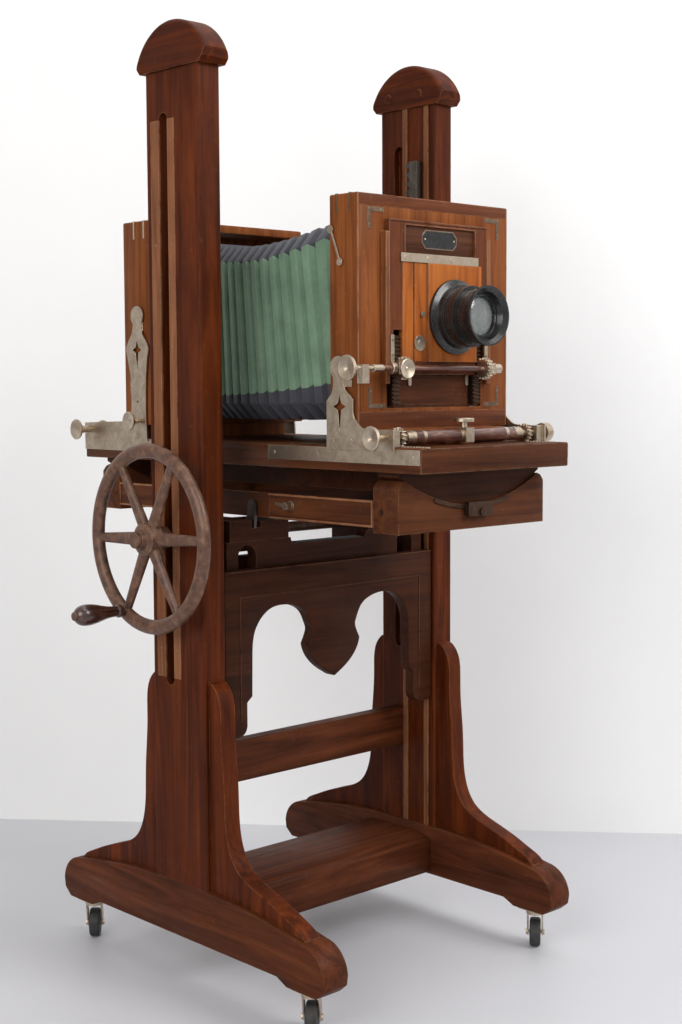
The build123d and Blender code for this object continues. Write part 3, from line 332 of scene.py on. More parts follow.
@once
def iron():
    paint = Paint("worn_iron_paint")
    cloud = paint.noise(paint.place, 60.0, 9.0, 0.72)
    colour = paint.ramp(cloud, (0.34, (0.050, 0.021, 0.012)), (0.52, (0.125, 0.055, 0.031)),
                        (0.70, (0.245, 0.135, 0.080)))
    colour = paint.mix(paint.maths("MINIMUM", paint.edges(0.002), 0.5), colour, (0.30, 0.19, 0.13))
    paint.colour(colour)
    paint.roughness(cloud, (0.3, 0.34), (0.7, 0.62))
    paint.set(Metallic=0.15, Coat_Weight=0.1)
    paint.bump(paint.noise(paint.place, 150.0, 6.0, 0.65), 0.35, 0.0006, 0.001)
    return paint.material


@once
def enamel():
    paint = Paint("black_lens_enamel")
    dust = paint.noise(paint.place, 85.0, 8.0, 0.7)
    worn = paint.maths("MINIMUM", paint.edges(0.0009), 0.55)
    colour = paint.mix(worn, (0.009, 0.009, 0.010), (0.105, 0.085, 0.060))
    colour = paint.mix(paint.ramp(dust, (0.60, 0.0), (0.78, 0.14)), colour, (0.06, 0.06, 0.058))
    paint.colour(colour)
    paint.roughness(dust, (0.3, 0.16), (0.7, 0.40))
    paint.set(Coat_Weight=0.22, Coat_Roughness=0.10)
    paint.bump(dust, 0.06, 0.0002, 0.0005)
    return paint.material


@once
def lens_glass():
    paint = Paint("lens_glass")
    film = paint.noise(paint.place, 90.0, 6.0, 0.6)
    paint.roughness(film, (0.35, 0.02), (0.75, 0.14))
    paint.colour(paint.ramp(film, (0.3, (0.80, 0.86, 0.84)), (0.8, (0.92, 0.95, 0.94))))
    paint.set(Transmission_Weight=0.86, IOR=1.52)
    return paint.material


@once
def ground_glass():
    paint = Paint("ground_glass")
    grain = paint.noise(paint.place, 900.0, 2.0, 0.6)
    smear = paint.noise(paint.place, 11.0, 5.0, 0.6)
    paint.colour(paint.ramp(smear, (0.3, (0.72, 0.76, 0.74)), (0.7, (0.84, 0.87, 0.85))))
    paint.roughness(smear, (0.3, 0.42), (0.8, 0.62))
    paint.set(Transmission_Weight=0.7, IOR=1.5)
    paint.bump(grain, 0.3, 0.0002)
    return paint.material


@once
def cloth(name, light, dark, sheen):
    paint = Paint(name)
    weave_up = paint.noise(paint.stretched((900, 900, 2600)), 1.0, 1.0, 0.5)
    weave_on = paint.noise(paint.stretched((2600, 2600, 700)), 1.0, 1.0, 0.5)
    weave = paint.mix(0.5, weave_up, weave_on)
    age = paint.noise(paint.place, 16.0, 7.0, 0.65)
    colour = paint.mix(paint.ramp(age, (0.32, 0.0), (0.70, 1.0)), dark, light)
    threads = paint.ramp(weave, (0.36, 0.25), (0.60, 1.0))
    colour = paint.mix(0.30, colour, paint.mix(1.0, colour, threads, "MULTIPLY"))
    rubbed = paint.ramp(paint.noise(paint.place, 120.0), (0.35, 0.1), (0.7, 1.0))
    crease = paint.maths("MULTIPLY", paint.edges(0.0022), rubbed)
    faded = tuple(min(1, 1.7 * c + 0.02) for c in light)
    colour = paint.mix(paint.maths("MINIMUM", crease, 0.16), colour, faded)
    paint.colour(colour)
    paint.roughness(age, (0.3, 0.50), (0.7, 0.74))
    paint.set(Sheen_Weight=sheen, Specular_IOR_Level=0.35)
    paint.bump(weave, 0.30, 0.0004)
    return paint.material


def green_cloth():
    return cloth("green_bellows_cloth", (0.190, 0.300, 0.195), (0.105, 0.180, 0.115), 0.08)


def grey_tape():
    return cloth("grey_corner_tape", (0.055, 0.056, 0.072), (0.026, 0.027, 0.036), 0.10)


@once
def rubber():
    paint = Paint("caster_rubber")
    dust = paint.noise(paint.place, 70.0, 7.0, 0.7)
    paint.colour(paint.ramp(dust, (0.35, (0.010, 0.010, 0.011)), (0.70, (0.055, 0.052, 0.050))))
    paint.roughness(dust, (0.3, 0.45), (0.7, 0.75))
    paint.bump(dust, 0.2, 0.0003, 0.001)
    return paint.material


@once
def turned_wood():
    paint = Paint("dark_turned_grip")
    figure = paint.noise(paint.stretched((3, 60, 60)), 1.6, 6.0, 0.6, 1.0)
    paint.colour(paint.ramp(figure, (0.30, (0.018, 0.007, 0.005)), (0.70, (0.085, 0.030, 0.018))))
    paint.roughness(figure, (0.3, 0.20), (0.7, 0.34))
    paint.set(Coat_Weight=0.6, Coat_Roughness=0.12)
    paint.bump(figure, 0.1, 0.0004, 0.0008)
    return paint.material


@once
def room_paint(name, colour, rough):
    paint = Paint(name)
    cloud = paint.noise(paint.place, 1.7, 5.0, 0.6)
    low = tuple(0.965 * c for c in colour)
    paint.colour(paint.ramp(cloud, (0.35, low), (0.65, colour)))
    paint.roughness(cloud, (0.3, rough), (0.7, rough + 0.08))
    return paint.material


@once
def rod_paint():
    paint = Paint("brown_rod_lacquer")
    cloud = paint.noise(paint.stretched((12, 60, 60)), 1.5, 7.0, 0.65)
    paint.colour(paint.ramp(cloud, (0.32, (0.040, 0.014, 0.010)), (0.56, (0.105, 0.036, 0.024)),
                            (0.72, (0.30, 0.17, 0.12))))
    paint.roughness(cloud, (0.3, 0.20), (0.7, 0.42))
    paint.set(Coat_Weight=0.4, Coat_Roughness=0.12)
    return paint.material


@once
def felt():
    return cloth("dark_green_felt", (0.016, 0.030, 0.026), (0.007, 0.013, 0.012), 0.2)


# ---------------------------------------------------------------- mesh helpers
FORWARD = (0, -1, 0)
ACROSS = (1, 0, 0)
SMOOTH_ANGLE = radians(38)


def piece(name, build, materials, smooth):
    """A new mesh object from build(bm), riding on nothing yet."""
    bm = bmesh.new()
    build(bm)
    bmesh.ops.recalc_face_normals(bm, faces=bm.faces)
    mesh = bpy.data.meshes.new(name)
    bm.to_mesh(mesh)
    bm.free()
    for material in materials:
        mesh.materials.append(material)
    if smooth:
        mesh.shade_smooth()
        mesh.set_sharp_from_angle(angle=SMOOTH_ANGLE)
    made_piece = bpy.data.objects.new(name, mesh)
    bpy.context.scene.collection.objects.link(made_piece)
    return made_piece


def turned(bm, place, axis, profile, steps):
    """A solid of revolution: profile is (distance along the axis, radius) in millimetres."""
    axis = Vector(axis).normalized()
    side = axis.orthogonal().normalized()
    up = axis.cross(side)
    rings = []
    for along, radius in profile:
        ring = []
        for number in range(steps):
            angle = 2 * pi * number / steps
            spot = at(*place) + MM * (axis * along + radius * (side * cos(angle) + up * sin(angle)))
            ring.append(bm.verts.new(spot))
        rings.append(ring)
    for low, high in zip(rings, rings[1:]):
        for number in range(steps):
            following = (number + 1) % steps
            bm.faces.new((low[number], low[following], high[following], high[number]))
    bm.faces.new(rings[0])
    bm.faces.new(rings[-1])


def block(bm, low, high, width):
    """A box between two corners in millimetres, with its edges rounded."""
    verts = bmesh.ops.create_cube(bm, size=1.0)["verts"]
    for vert in verts:
        vert.co = at(*(a + (b - a) * (c + 0.5) for a, b, c in zip(low, high, vert.co)))
    edges = list({edge for vert in verts for edge in vert.link_edges})
    bmesh.ops.bevel(bm, geom=edges, offset=width * MM, segments=2, affect="EDGES", profile=0.6)


def extruded(bm, outline, along):
    """A flat closed outline, given as points in the frame, pushed along a vector."""
    low = [bm.verts.new(point) for point in outline]
    high = [bm.verts.new(point + along) for point in outline]
    bm.faces.new(low)
    bm.faces.new(high)
    for number, vert in enumerate(low):
        following = (number + 1) % len(low)
        bm.faces.new((vert, low[following], high[following], high[number]))


def screw_head(bm, place, axis, radius):
    """A slotted cheese head on a plate: two half discs with the slot between them."""
    outward = Vector(axis).normalized()
    turn = 0.7 * (place[0] + 2.3 * place[1] + 3.1 * place[2])
    side = outward.orthogonal().normalized()
    side.rotate(Matrix.Rotation(turn, 3, outward))
    up = outward.cross(side)
    for half in (-1, 1):
        outline = []
        for step in range(9):
            angle = radians(-80 + 20 * step)
            outline.append(at(*place) + radius * MM * (half * side * cos(angle) + up * sin(angle)))
        extruded(bm, outline, outward * 0.34 * radius * MM)
    turned(bm, place, axis, [(0, 0.9 * radius), (0.16 * radius, 0.9 * radius)], 16)


def knurled(bm, place, axis, radius, low, high, teeth, deep):
    """A ring round an axis with fine straight ridges, from low to high along it."""
    outward = Vector(axis).normalized()
    side = outward.orthogonal().normalized()
    up = outward.cross(side)
    inner = radius - 2.0
    count = teeth * 4
    for number in range(count):
        corners = []
        for step in (number, number + 1):
            reach = radius - (deep if step % 4 in (2, 3) else 0.0)
            angle = 2 * pi * (step % count) / count
            ray = side * cos(angle) + up * sin(angle)
            corners.append([at(*place) + MM * (outward * along + ray * r)
                            for along, r in ((low, inner), (low, reach), (high, reach), (high, inner))])
        first, second = corners
        verts = [[bm.verts.new(point) for point in corner] for corner in (first, second)]
        for k in range(4):
            following = (k + 1) % 4
            bm.faces.new((verts[0][k], verts[0][following], verts[1][following], verts[1][k]))
    bmesh.ops.remove_doubles(bm, verts=bm.verts, dist=1e-6)


def add(name, body, material, build, smooth=True):
    """A detail with its own material that rides on a body."""
    detail = piece(name, build, (material,), smooth)
    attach(detail, body)


# ---------------------------------------------------------------- rounded woodwork
SAME_POINT = 2e-6
FLAT_ANGLE = radians(0.4)
ARRIS_ANGLE = radians(35)
ROUNDED_SMOOTH_ANGLE = radians(42)
COLUMN_SIDE_Y = 68.0
RUNNER_HIGH = 174.7
RUNNER_FALL = 0.105


def rounded_copy(node, width, segments, chosen):
    """A copy of a CAD piece whose sharp arrises are rounded, standing for that piece."""
    bm = bmesh.new()
    bm.from_mesh(nodes[node].data)
    bmesh.ops.remove_doubles(bm, verts=bm.verts, dist=SAME_POINT)
    bmesh.ops.dissolve_limit(bm, angle_limit=FLAT_ANGLE, verts=bm.verts, edges=bm.edges)
    sharp = []
    for edge in bm.edges:
        if len(edge.link_faces) == 2 and edge.calc_face_angle(0) > ARRIS_ANGLE:
            middle = 0.5 * (edge.verts[0].co + edge.verts[1].co)
            if chosen is None or chosen(middle, edge):
                sharp.append(edge)
    bmesh.ops.bevel(bm, geom=sharp, offset=width * MM, segments=segments, affect="EDGES",
                    profile=0.5, clamp_overlap=True)
    mesh = bpy.data.meshes.new(node + "_rounded")
    bm.to_mesh(mesh)
    bm.free()
    mesh.materials.append(FINISH[node])
    mesh.shade_smooth()
    mesh.set_sharp_from_angle(angle=ROUNDED_SMOOTH_ANGLE)
    copy = bpy.data.objects.new(node + "_rounded", mesh)
    bpy.context.scene.collection.objects.link(copy)
    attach(copy, nodes[node]["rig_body"])
    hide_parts(node)


def brace_curve(middle, edge):
    """The long curved front of a brace, away from its column and its runner."""
    y = abs(middle.y) / MM
    z = middle.z / MM
    along = abs((edge.verts[1].co - edge.verts[0].co).normalized().x)
    runner = RUNNER_HIGH - (y - COLUMN_SIDE_Y) * RUNNER_FALL
    return y > COLUMN_SIDE_Y + 6 and z > runner + 4.5 and along < 0.2


# Width of the rounding in millimetres, its segments, and a test for the edges that it takes.
ROUNDED = {
    "foot_braces": (13.5, 6, brace_curve),
    "runners": (1.8, 2, None),
    "apron": (1.6, 2, None),
    "stretchers": (2.0, 2, None),
    "front_box": (1.2, 2, None),
    "rear_box": (1.2, 2, None),
    "bed_board": (1.2, 2, None),
    "cradle_front": (1.4, 2, None),
    "cradle_rear": (1.4, 2, None),
    "back_frame": (1.2, 2, None),
}

# ---------------------------------------------------------------- finish of every CAD piece
FINISH = {
    "column_left": wood("stand", "Z"), "column_right": wood("stand", "Z"), "column_caps": wood("stand", "Y"),
    "guide_strips": wood("worn", "Z"), "runners": wood("foot", "Y"), "foot_braces": wood("stand", "Z"),
    "stretchers": wood("foot", "X"), "apron": wood("dark", "X"), "carriage_frame": wood("dark", "X"),
    "bearing_blocks": wood("dark", "X"), "cradle_front": wood("bed", "X"), "cradle_rear": wood("bed", "X"),
    "platform_rails": wood("bed", "Y"), "roll_segments": wood("dark", "X"), "bed_board": wood("bed", "Y"),
    "front_box": wood("camera", "Z"), "rear_box": wood("camera", "Z"), "lower_panel": wood("bed", "X"),
    "rising_frame": wood("rail", "Z"), "lens_board": wood("lens", "Z"), "back_frame": wood("camera", "Z"),
    "lift_racks": steel(), "lift_shaft": iron(), "tilt_ears": steel(),
    "handwheel": iron(), "wheel_grip": turned_wood(),
    "cradle_fittings": bronzed(), "roll_clamp_screw": bronzed(),
    "front_trim": aged_bronze(), "rise_racks": bronzed(), "bed_racks": dull_nickel(),
    "lens_barrel": enamel(), "aperture_ring": enamel(),
    "lens_glass": lens_glass(), "ground_glass": ground_glass(),
}


def finish_nodes():
    for name, node in nodes.items():
        if name.startswith("caster_wheel"):
            material = rubber()
        else:
            material = FINISH.get(name, nickel())
        node.data.materials.clear()
        node.data.materials.append(material)
        node.data.set_sharp_from_angle(angle=SMOOTH_ANGLE)


# ---------------------------------------------------------------- details of the rising front and lens
# Y of the box front, of the rising frame and of the panel let into it.
FACE = -299.0
RISE_FACE = -308.0
PANEL_FACE = -304.0
FACING_HALF = 169.4
# Left and right edge of the long panel above the lens board, with its bead outside them.
TOP_PANEL_LEFT = -76.8
TOP_PANEL_RIGHT = 81.8
BEAD_LEFT = -79.2
BEAD_RIGHT = 84.2
LENS_BOARD_LOW = 1023.4
LENS_BOARD_HIGH = 1175.6
GUIDE_X = 115.3
GUIDE_HALF = 4.1
CORNER_X = 169.0
RISE_LUG_X = 107.3
RISE_ROD_Y = -320.0
RISE_ROD_Z = 1013.0
FOCUS_ROD_Z = 909.0
LENS = (30.0, 1094.0)
ROUND_STEPS = 64
PLATE_MIDDLE = (2.0, 1213.0)
PLATE_HALF = (38.0, 13.0)
PLATE_CUT = 8.0


def octagon(half_x, half_z, cut):
    """Corners of an oblong plate with cut corners, about the plate's middle."""
    quarter = [(half_x, half_z - cut), (half_x - cut, half_z)]
    right = quarter + [(-x, z) for x, z in reversed(quarter)]
    return right + [(-x, -z) for x, z in right]


def plate_outline(grow, y):
    corners = octagon(PLATE_HALF[0] + grow, PLATE_HALF[1] + grow, PLATE_CUT)
    return [at(PLATE_MIDDLE[0] + x, y, PLATE_MIDDLE[1] + z) for x, z in corners]


def make_name_plate():
    outward = Vector(FORWARD)
    add("name_plate_rim", "rising_front", dull_nickel(),
        lambda bm: extruded(bm, plate_outline(1.6, PANEL_FACE - 0.8), outward * 1.1 * MM), False)
    add("name_plate", "rising_front", enamel(),
        lambda bm: extruded(bm, plate_outline(0.0, PANEL_FACE - 1.2), outward * 1.2 * MM), False)

    def pins(bm):
        for side in (-1, 1):
            turned(bm, (PLATE_MIDDLE[0] + side * 33, PANEL_FACE - 2.4, PLATE_MIDDLE[1]), FORWARD,
                   [(0, 1.5), (0.5, 1.4), (0.9, 0.7)], 14)
    add("name_plate_pins", "rising_front", nickel(), pins)


def make_front_panels():
    """Facings that give rails and panels their own run of grain, with the beads and strips round them."""
    def top_panel(bm):
        block(bm, (TOP_PANEL_LEFT, PANEL_FACE - 0.8, 1190.2),
              (TOP_PANEL_RIGHT, PANEL_FACE + 3.0, 1231.8), 0.3)
    add("top_panel", "rising_front", wood("panel", "X"), top_panel)

    def beads(bm):
        for left, right, low, high, proud in ((-111, 111, 1237.0, 1240.0, 1.6),
                                              (BEAD_LEFT, TOP_PANEL_LEFT, 1188.0, 1234.0, 1.2),
                                              (TOP_PANEL_RIGHT, BEAD_RIGHT, 1188.0, 1234.0, 1.2),
                                              (BEAD_LEFT, BEAD_RIGHT, 1231.8, 1234.2, 1.2)):
            block(bm, (left, RISE_FACE - proud, low), (right, RISE_FACE - 0.02, high), 0.5)
    add("front_beads", "rising_front", wood("rail", "X"), beads)

    def lens_facing(bm):
        for left, right in ((-82.6, -60.5), (-56.0, -29.4)):
            block(bm, (left, RISE_FACE - 0.9, LENS_BOARD_LOW), (right, RISE_FACE + 3.0, LENS_BOARD_HIGH), 0.4)
    add("lens_board_facings", "rising_front", wood("lens", "Z"), lens_facing)

    # The pale worn wood on this strip is a painted highlight along the lens panel's lit left edge.
    def edge_strip(bm):
        block(bm, (-29.6, RISE_FACE - 4.6, 1023.2), (-27.6, RISE_FACE - 0.02, 1175.8), 0.7)
    add("lens_panel_edge", "rising_front", wood("worn", "Z"), edge_strip)

    def rails(bm):
        block(bm, (-FACING_HALF, FACE - 0.12, 1258.0), (FACING_HALF, FACE + 4.0, 1275.2), 0.1)
        block(bm, (-FACING_HALF, FACE - 0.3, 920.2), (FACING_HALF, FACE + 4.0, 947.0), 0.2)
    add("front_rails", "front_standard", wood("rail", "X"), rails)

    def arris(bm):
        for side in (-1, 1):
            corner = side * CORNER_X
            block(bm, (corner - 1.3, FACE - 0.7, 921), (corner + 1.3, FACE + 0.6, 1274), 0.5)
    add("front_arris_beads", "front_standard", wood("worn", "Z"), arris)

    # The pale worn wood on the guide faces is a painted highlight: it stands for the light caught along the
    # guide rails' edges.
    def guides(bm):
        for side in (-1, 1):
            middle = side * GUIDE_X
            block(bm, (middle - GUIDE_HALF, RISE_FACE - 0.9, 989.4),
                  (middle + GUIDE_HALF, RISE_FACE + 0.4, 1220.6), 0.6)
    add("guide_faces", "front_standard", wood("worn", "Z"), guides)


def make_lens_details():
    """Knurling, bands and retaining ring; distances along the lens are measured forward from y = 0."""
    middle = (LENS[0], 0.0, LENS[1])

    def ridges(bm):
        for radius, low, high, teeth, deep in ((58.9, 312.6, 316.4, 84, 0.8),
                                               (46.9, 381.2, 385.2, 72, 0.8),
                                               (42.3, 365.0, 368.0, 64, 0.6)):
            knurled(bm, middle, FORWARD, radius, low, high, teeth, deep)
    add("lens_knurling", "rising_front", enamel(), ridges)

    def ring_ridges(bm):
        knurled(bm, middle, FORWARD, 47.9, 345.0, 351.0, 72, 0.7)
    add("aperture_knurling", "aperture_ring", enamel(), ring_ridges)

    def bands(bm):
        for along, radius in ((322.0, 49.7), (330.2, 49.7), (336.0, 46.8), (342.0, 46.8), (357.5, 41.9)):
            profile = [(0, radius - 1.2), (0, radius), (0.7, radius + 0.2), (1.4, radius),
                       (1.4, radius - 1.2)]
            turned(bm, (LENS[0], -along, LENS[1]), FORWARD, profile, ROUND_STEPS)
    add("lens_bands", "rising_front", enamel(), bands)

    def cell(bm):
        rings = ((366.0, 33.8), (371.5, 33.6), (371.8, 31.2), (369.0, 29.4), (367.6, 29.2))
        previous = None
        angles = [2 * pi * k / ROUND_STEPS for k in range(ROUND_STEPS)]
        for along, radius in rings:
            ring = [bm.verts.new(at(LENS[0] + radius * cos(angle), -along, LENS[1] + radius * sin(angle)))
                    for angle in angles]
            if previous:
                for k in range(ROUND_STEPS):
                    following = (k + 1) % ROUND_STEPS
                    bm.faces.new((previous[k], previous[following], ring[following], ring[k]))
            previous = ring
    add("lens_cell_ring", "rising_front", enamel(), cell)


# Distance along the knob and the radius there, from its shank to its dished face.
KNOB_PROFILE = [(0, 4.6), (3, 5.6), (6, 4.2), (11, 4.0), (14, 6.5), (17, 11.0), (20.5, 15.0),
                (22.5, 15.3), (23.2, 14.2), (21.6, 9.0), (20.6, 3.0), (21.4, 2.2), (21.6, 0.6)]


def make_clamp_knob():
    """The small dished clamp knob that faces the sitter at the left lug of the rising front."""
    place = (-RISE_LUG_X, -321.0, 1012.0)

    def knob(bm):
        turned(bm, place, FORWARD, KNOB_PROFILE, 48)
    add("rise_clamp_knob", "rising_front", nickel(), knob)


def make_rise_rod():
    """The nickel collars and the brown lacquered lengths of the rod that raises the front."""
    def collar(bm):
        for start, profile in ((-122.0, [(0, 8.0), (1, 9.2), (8, 9.2), (9, 8.0)]),
                               (-160.0, [(0, 5.2), (1, 6.2), (20, 6.2), (21, 5.2)])):
            turned(bm, (start, RISE_ROD_Y, RISE_ROD_Z), ACROSS, profile, 32)
    add("rise_rod_collars", "rise_rod", nickel(), collar)

    def sleeve(bm):
        for low, high in ((-136.0, -124.0), (-96.0, 80.0)):
            length = high - low
            profile = [(0, 4.1), (0, 4.6), (length, 4.6), (length, 4.1)]
            turned(bm, (low, RISE_ROD_Y, RISE_ROD_Z), ACROSS, profile, 24)
    add("rise_rod_sleeves", "rise_rod", rod_paint(), sleeve)


def make_focus_rods():
    """The brown lacquered lengths of the two focus rods, and the ridged grip at the right end of each."""
    for name, y, end in (("front_rod", -360.0, 204.0), ("rear_rod", 412.0, 198.0)):
        def sleeve(bm):
            for side in (-1, 1):
                for low, high in ((14.0, 91.5), (98.5, 114.5)):
                    start = low if side > 0 else -high
                    length = high - low
                    profile = [(0, 9.6), (0.4, 10.35), (length - 0.4, 10.35), (length, 9.6)]
                    turned(bm, (start, y, FOCUS_ROD_Z), ACROSS, profile, 32)
        add(name + "_sleeves", name, rod_paint(), sleeve)

        def ridges(bm):
            knurled(bm, (end - 14.0, y, FOCUS_ROD_Z), ACROSS, 15.6, 0.0, 12.0, 26, 1.1)
        add(name + "_grip", name, nickel(), ridges)


# ---------------------------------------------------------------- screws
def make_screws():
    strip_face = -289.0
    heads = {
        "stand": [((strip_face, y, 560.0 + 163.0 * k), (-1, 0, 0), 1.7)
                  for k in range(6) for y in (2.0, 44.0)],
        "front_standard": [((x, FACE - 0.6, z), FORWARD, 1.7) for x, z in (
            (-146.5, 1252.5), (-146.5, 1230), (-122, 1252.5), (146.5, 1252.5), (146.5, 1230), (122, 1252.5),
            (-144.5, 955.5), (-144.5, 978), (-121, 955.5), (146.5, 955.5), (146.5, 978), (122, 955.5))],
        "rising_front": [((side * RISE_LUG_X, RISE_FACE - 3.0, z), FORWARD, 2.1)
                         for side in (-1, 1) for z in (1033, 1056)]
        + [((LENS[0] + 54.0 * cos(a), RISE_FACE - 10.2, LENS[1] + 54.0 * sin(a)), FORWARD, 2.0)
           for a in (0.5, 2.1, 3.7, 5.3)],
        "rear_standard": [((side * 175.6, 258.0, 960.0), (side, 0, 0), 2.6) for side in (-1, 1)],
        "cradle": [((172.0, y, z), ACROSS, 2.2) for y, z in ((-372, 787), (-338, 818))],
    }
    for body, places in heads.items():
        def build(bm):
            for place, axis, radius in places:
                screw_head(bm, place, axis, radius)
        add(body + "_screws", body, dull_nickel(), build, False)


# ---------------------------------------------------------------- trim of the bed, carriage and cradle
APRON_FACE = -62.0
APRON_BEAD_HALF = 209


def make_bed_end():
    def facing(bm):
        block(bm, (-FACING_HALF, -430.4, 857.8), (FACING_HALF, -426.0, 894.2), 0.3)
    add("bed_end_facing", "bed", wood("bed", "X"), facing)


def make_carriage_trim():
    """The beads on the apron, and the felt on the beam behind it."""
    back = APRON_FACE - 0.02

    def beads(bm):
        block(bm, (-APRON_BEAD_HALF, APRON_FACE - 1.0, 643.0), (APRON_BEAD_HALF, back, 645.6), 0.6)
        for side in (-1, 1):
            middle = side * APRON_BEAD_HALF
            block(bm, (middle - 1.3, APRON_FACE - 1.0, 440), (middle + 1.3, back, 645.6), 0.6)
        block(bm, (-240, APRON_FACE - 1.2, 685.4), (240, back, 688.0), 0.6)
    add("apron_beads", "carriage", wood("dark", "X"), beads)

    def lining(bm):
        block(bm, (-77, -49.6, 723.02), (77, -28.4, 724.6), 0.4)
    add("beam_lining", "carriage", felt(), lining)


def make_cradle_beads():
    """Three beads round the outer end of each long panel on the cradle's sides."""
    for label, low, high in (("left", -168.7, -167.02), ("right", 167.02, 168.7)):
        def beads(bm):
            for start, end in ((-327.5, -87.5), (87.5, 327.5)):
                block(bm, (low, start, 773.2), (high, end, 776.4), 0.6)
                block(bm, (low, start, 810.6), (high, end, 813.8), 0.6)
                near, far = (end - 1.6, end) if start > 0 else (start, start + 3.2)
                block(bm, (low, near, 776.4), (high, far, 810.6), 0.6)
        add("cradle_beads_" + label, "cradle", wood("worn", "Y"), beads)


# ---------------------------------------------------------------- bellows
BELLOWS_FRONT = -247.0
BELLOWS_REAR = 214.0
BELLOWS_MIDDLE = -15.0
FRONT_PLEAT = 35.0
REAR_PLEAT = 17.5
PLEAT_DEEP = 17.0
RIDGE_HALF = 149.0
BELLOWS_TOP = 1240.0
BELLOWS_LOW = 934.0
TOP_SAG = 22.0
FRONT_LEAN = 25.0
CORNER_CUT = 15.0
TAPE_ON_TOP = 27.0
TAPE_BELOW = 36.0
GREEN_STEPS = 6
CLOTH_THICK = 0.9


def pleat_lines():
    """Y of every fold from front to rear: each pleat is a broad ridge and a narrow valley behind it."""
    lines = [BELLOWS_FRONT]
    while lines[-1] < BELLOWS_REAR:
        share = min(1.0, 1.5 * (lines[-1] - BELLOWS_FRONT) / (BELLOWS_REAR - BELLOWS_FRONT))
        pitch = FRONT_PLEAT + (REAR_PLEAT - FRONT_PLEAT) * share
        for part in (0.58, 0.20, 0.22):
            lines.append(lines[-1] + pitch * part)
    stretch = (BELLOWS_REAR - BELLOWS_FRONT) / (lines[-1] - BELLOWS_FRONT)
    return [BELLOWS_FRONT + (line - BELLOWS_FRONT) * stretch for line in lines]


def fold_depth(number):
    """How far a fold lies inside the ridges: front of a ridge, back of it, and valley in turn."""
    wobble = 1.0 * sin(number * 2.4) + 0.7 * sin(number * 5.1)
    return (0.7 + 0.4 * wobble, 2.8 + 0.4 * wobble, PLEAT_DEEP + wobble)[number % 3]


def fold_ring(y, depth):
    """Corner points of the bellows' section at one fold, as (x, y, z) round the ring."""
    share = (y - BELLOWS_FRONT) / (BELLOWS_REAR - BELLOWS_FRONT)
    sag = TOP_SAG * sin(pi * min(1.0, share * 1.05)) ** 1.2
    lean = FRONT_LEAN * min(1.0, share / 0.14) * max(0.0, 1 - share) ** 1.2
    top = BELLOWS_TOP + 8.0 * (1 - share) ** 3 - sag - depth * 0.55
    low = BELLOWS_LOW + depth * 0.55 - 3.0 * sin(pi * share)
    half = RIDGE_HALF - depth
    cut = CORNER_CUT + 0.75 * (PLEAT_DEEP - depth)
    green_top = top - TAPE_ON_TOP
    green_low = low + TAPE_BELOW + 24.0 * (1 - share) ** 2
    side = [(half - cut, top), (half, top - cut), (half, green_top)]
    side += [(half, green_top + (green_low - green_top) * k / GREEN_STEPS) for k in range(1, GREEN_STEPS)]
    side += [(half, green_low), (half, low + cut), (half - cut, low)]
    other = [(-x, z) for x, z in reversed(side)]
    points = []
    for x, z in side + other:
        tilt = lean * ((z - low) / (top - low) - 0.5) * 2
        points.append((x, y + tilt, z))
    return points


def is_green(number, count):
    """Whether a strip of the ring lies between the corner tapes, on either side of the bellows."""
    first = number % (count // 2)
    return 2 <= first < 2 + GREEN_STEPS


def thickened(skin):
    """Gives the cloth its thickness and soft folds, and keeps the result as the piece's own mesh."""
    solid = skin.modifiers.new("cloth", "SOLIDIFY")
    solid.thickness = CLOTH_THICK * MM
    solid.offset = -1
    round_fold = skin.modifiers.new("fold", "BEVEL")
    round_fold.width = CLOTH_THICK * MM
    round_fold.segments = 2
    round_fold.limit_method = "ANGLE"
    round_fold.angle_limit = radians(20)
    bpy.context.view_layer.update()
    done = bpy.data.meshes.new_from_object(skin.evaluated_get(bpy.context.evaluated_depsgraph_get()))
    skin.modifiers.clear()
    skin.data = done
    done.shade_smooth()
    done.set_sharp_from_angle(angle=radians(50))


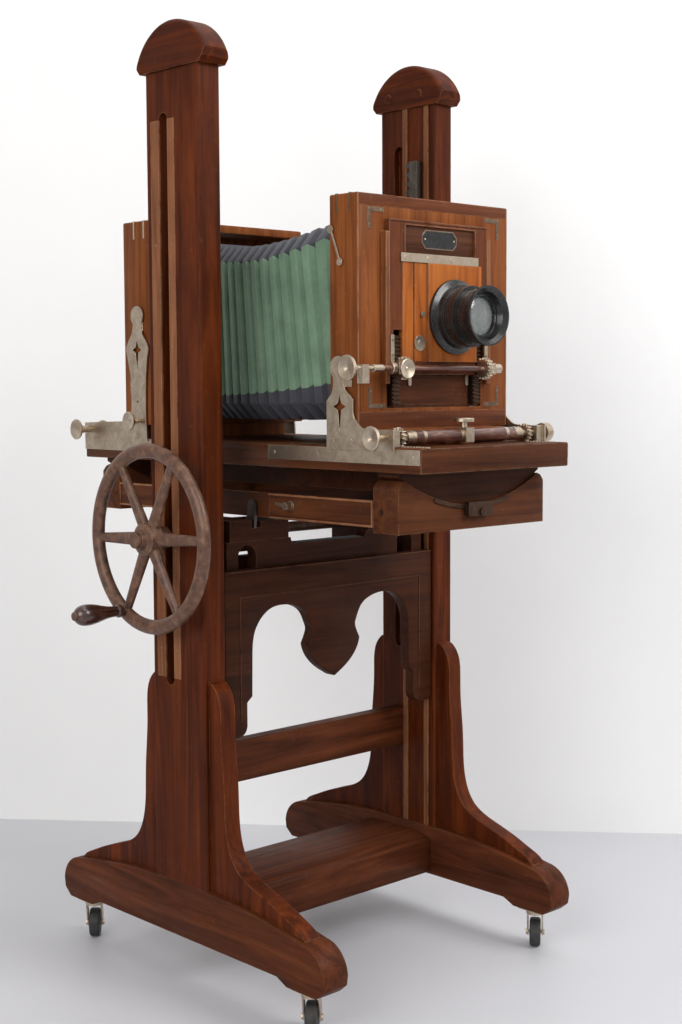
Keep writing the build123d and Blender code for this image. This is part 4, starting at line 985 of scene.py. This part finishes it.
def make_bellows():
    lines = pleat_lines()
    middle = min(range(len(lines)), key=lambda k: abs(lines[k] - BELLOWS_MIDDLE))
    halves = (("bellows_front_cloth", 0, middle, "bellows_front", "front_standard", BELLOWS_FRONT),
              ("bellows_rear_cloth", middle, len(lines) - 1, "bellows_rear", "rear_standard", BELLOWS_REAR))
    for name, first, last, node, body, end in halves:
        def build(bm):
            previous = None
            for number in range(first, last + 1):
                points = fold_ring(lines[number], fold_depth(number))
                ring = [bm.verts.new(at(*point)) for point in points]
                if previous:
                    count = len(ring)
                    for k in range(count):
                        following = (k + 1) % count
                        face = bm.faces.new((previous[k], previous[following], ring[following], ring[k]))
                        green = is_green(k, count)
                        face.material_index = 0 if green else 1
                previous = ring
        skin = piece(name, build, (green_cloth(), grey_tape()), smooth=False)
        thickened(skin)
        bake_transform(skin)
        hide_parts(node)


# ---------------------------------------------------------------- room
def make_room():
    def floor(bm):
        bmesh.ops.create_grid(bm, x_segments=1, y_segments=1, size=ROOM_HALF)
    ground = piece("floor", floor, (room_paint("floor_paint", (0.56, 0.56, 0.59), 0.42),), smooth=False)
    across = Vector((cos(WALL_NORMAL_ANGLE), -sin(WALL_NORMAL_ANGLE), 0))
    normal = Vector((sin(WALL_NORMAL_ANGLE), cos(WALL_NORMAL_ANGLE), 0))
    foot = at(0, 0, 0) + WALL_DISTANCE * MM * normal
    foot.z = -0.001

    def wall(bm):
        corners = [foot + across * side * ROOM_HALF + Vector((0, 0, height))
                   for side, height in ((-1, 0), (1, 0), (1, WALL_HEIGHT), (-1, WALL_HEIGHT))]
        bm.faces.new([bm.verts.new(corner) for corner in corners])
    back = piece("wall", wall, (room_paint("wall_paint", (0.90, 0.90, 0.90), 0.8),), smooth=False)


make_camera()
make_light()
make_room()
finish_nodes()
for node_name, (width, segments, chosen) in ROUNDED.items():
    rounded_copy(node_name, width, segments, chosen)
make_bellows()
make_name_plate()
make_front_panels()
make_lens_details()
make_clamp_knob()
make_rise_rod()
make_focus_rods()
make_screws()
make_bed_end()
make_carriage_trim()
make_cradle_beads()
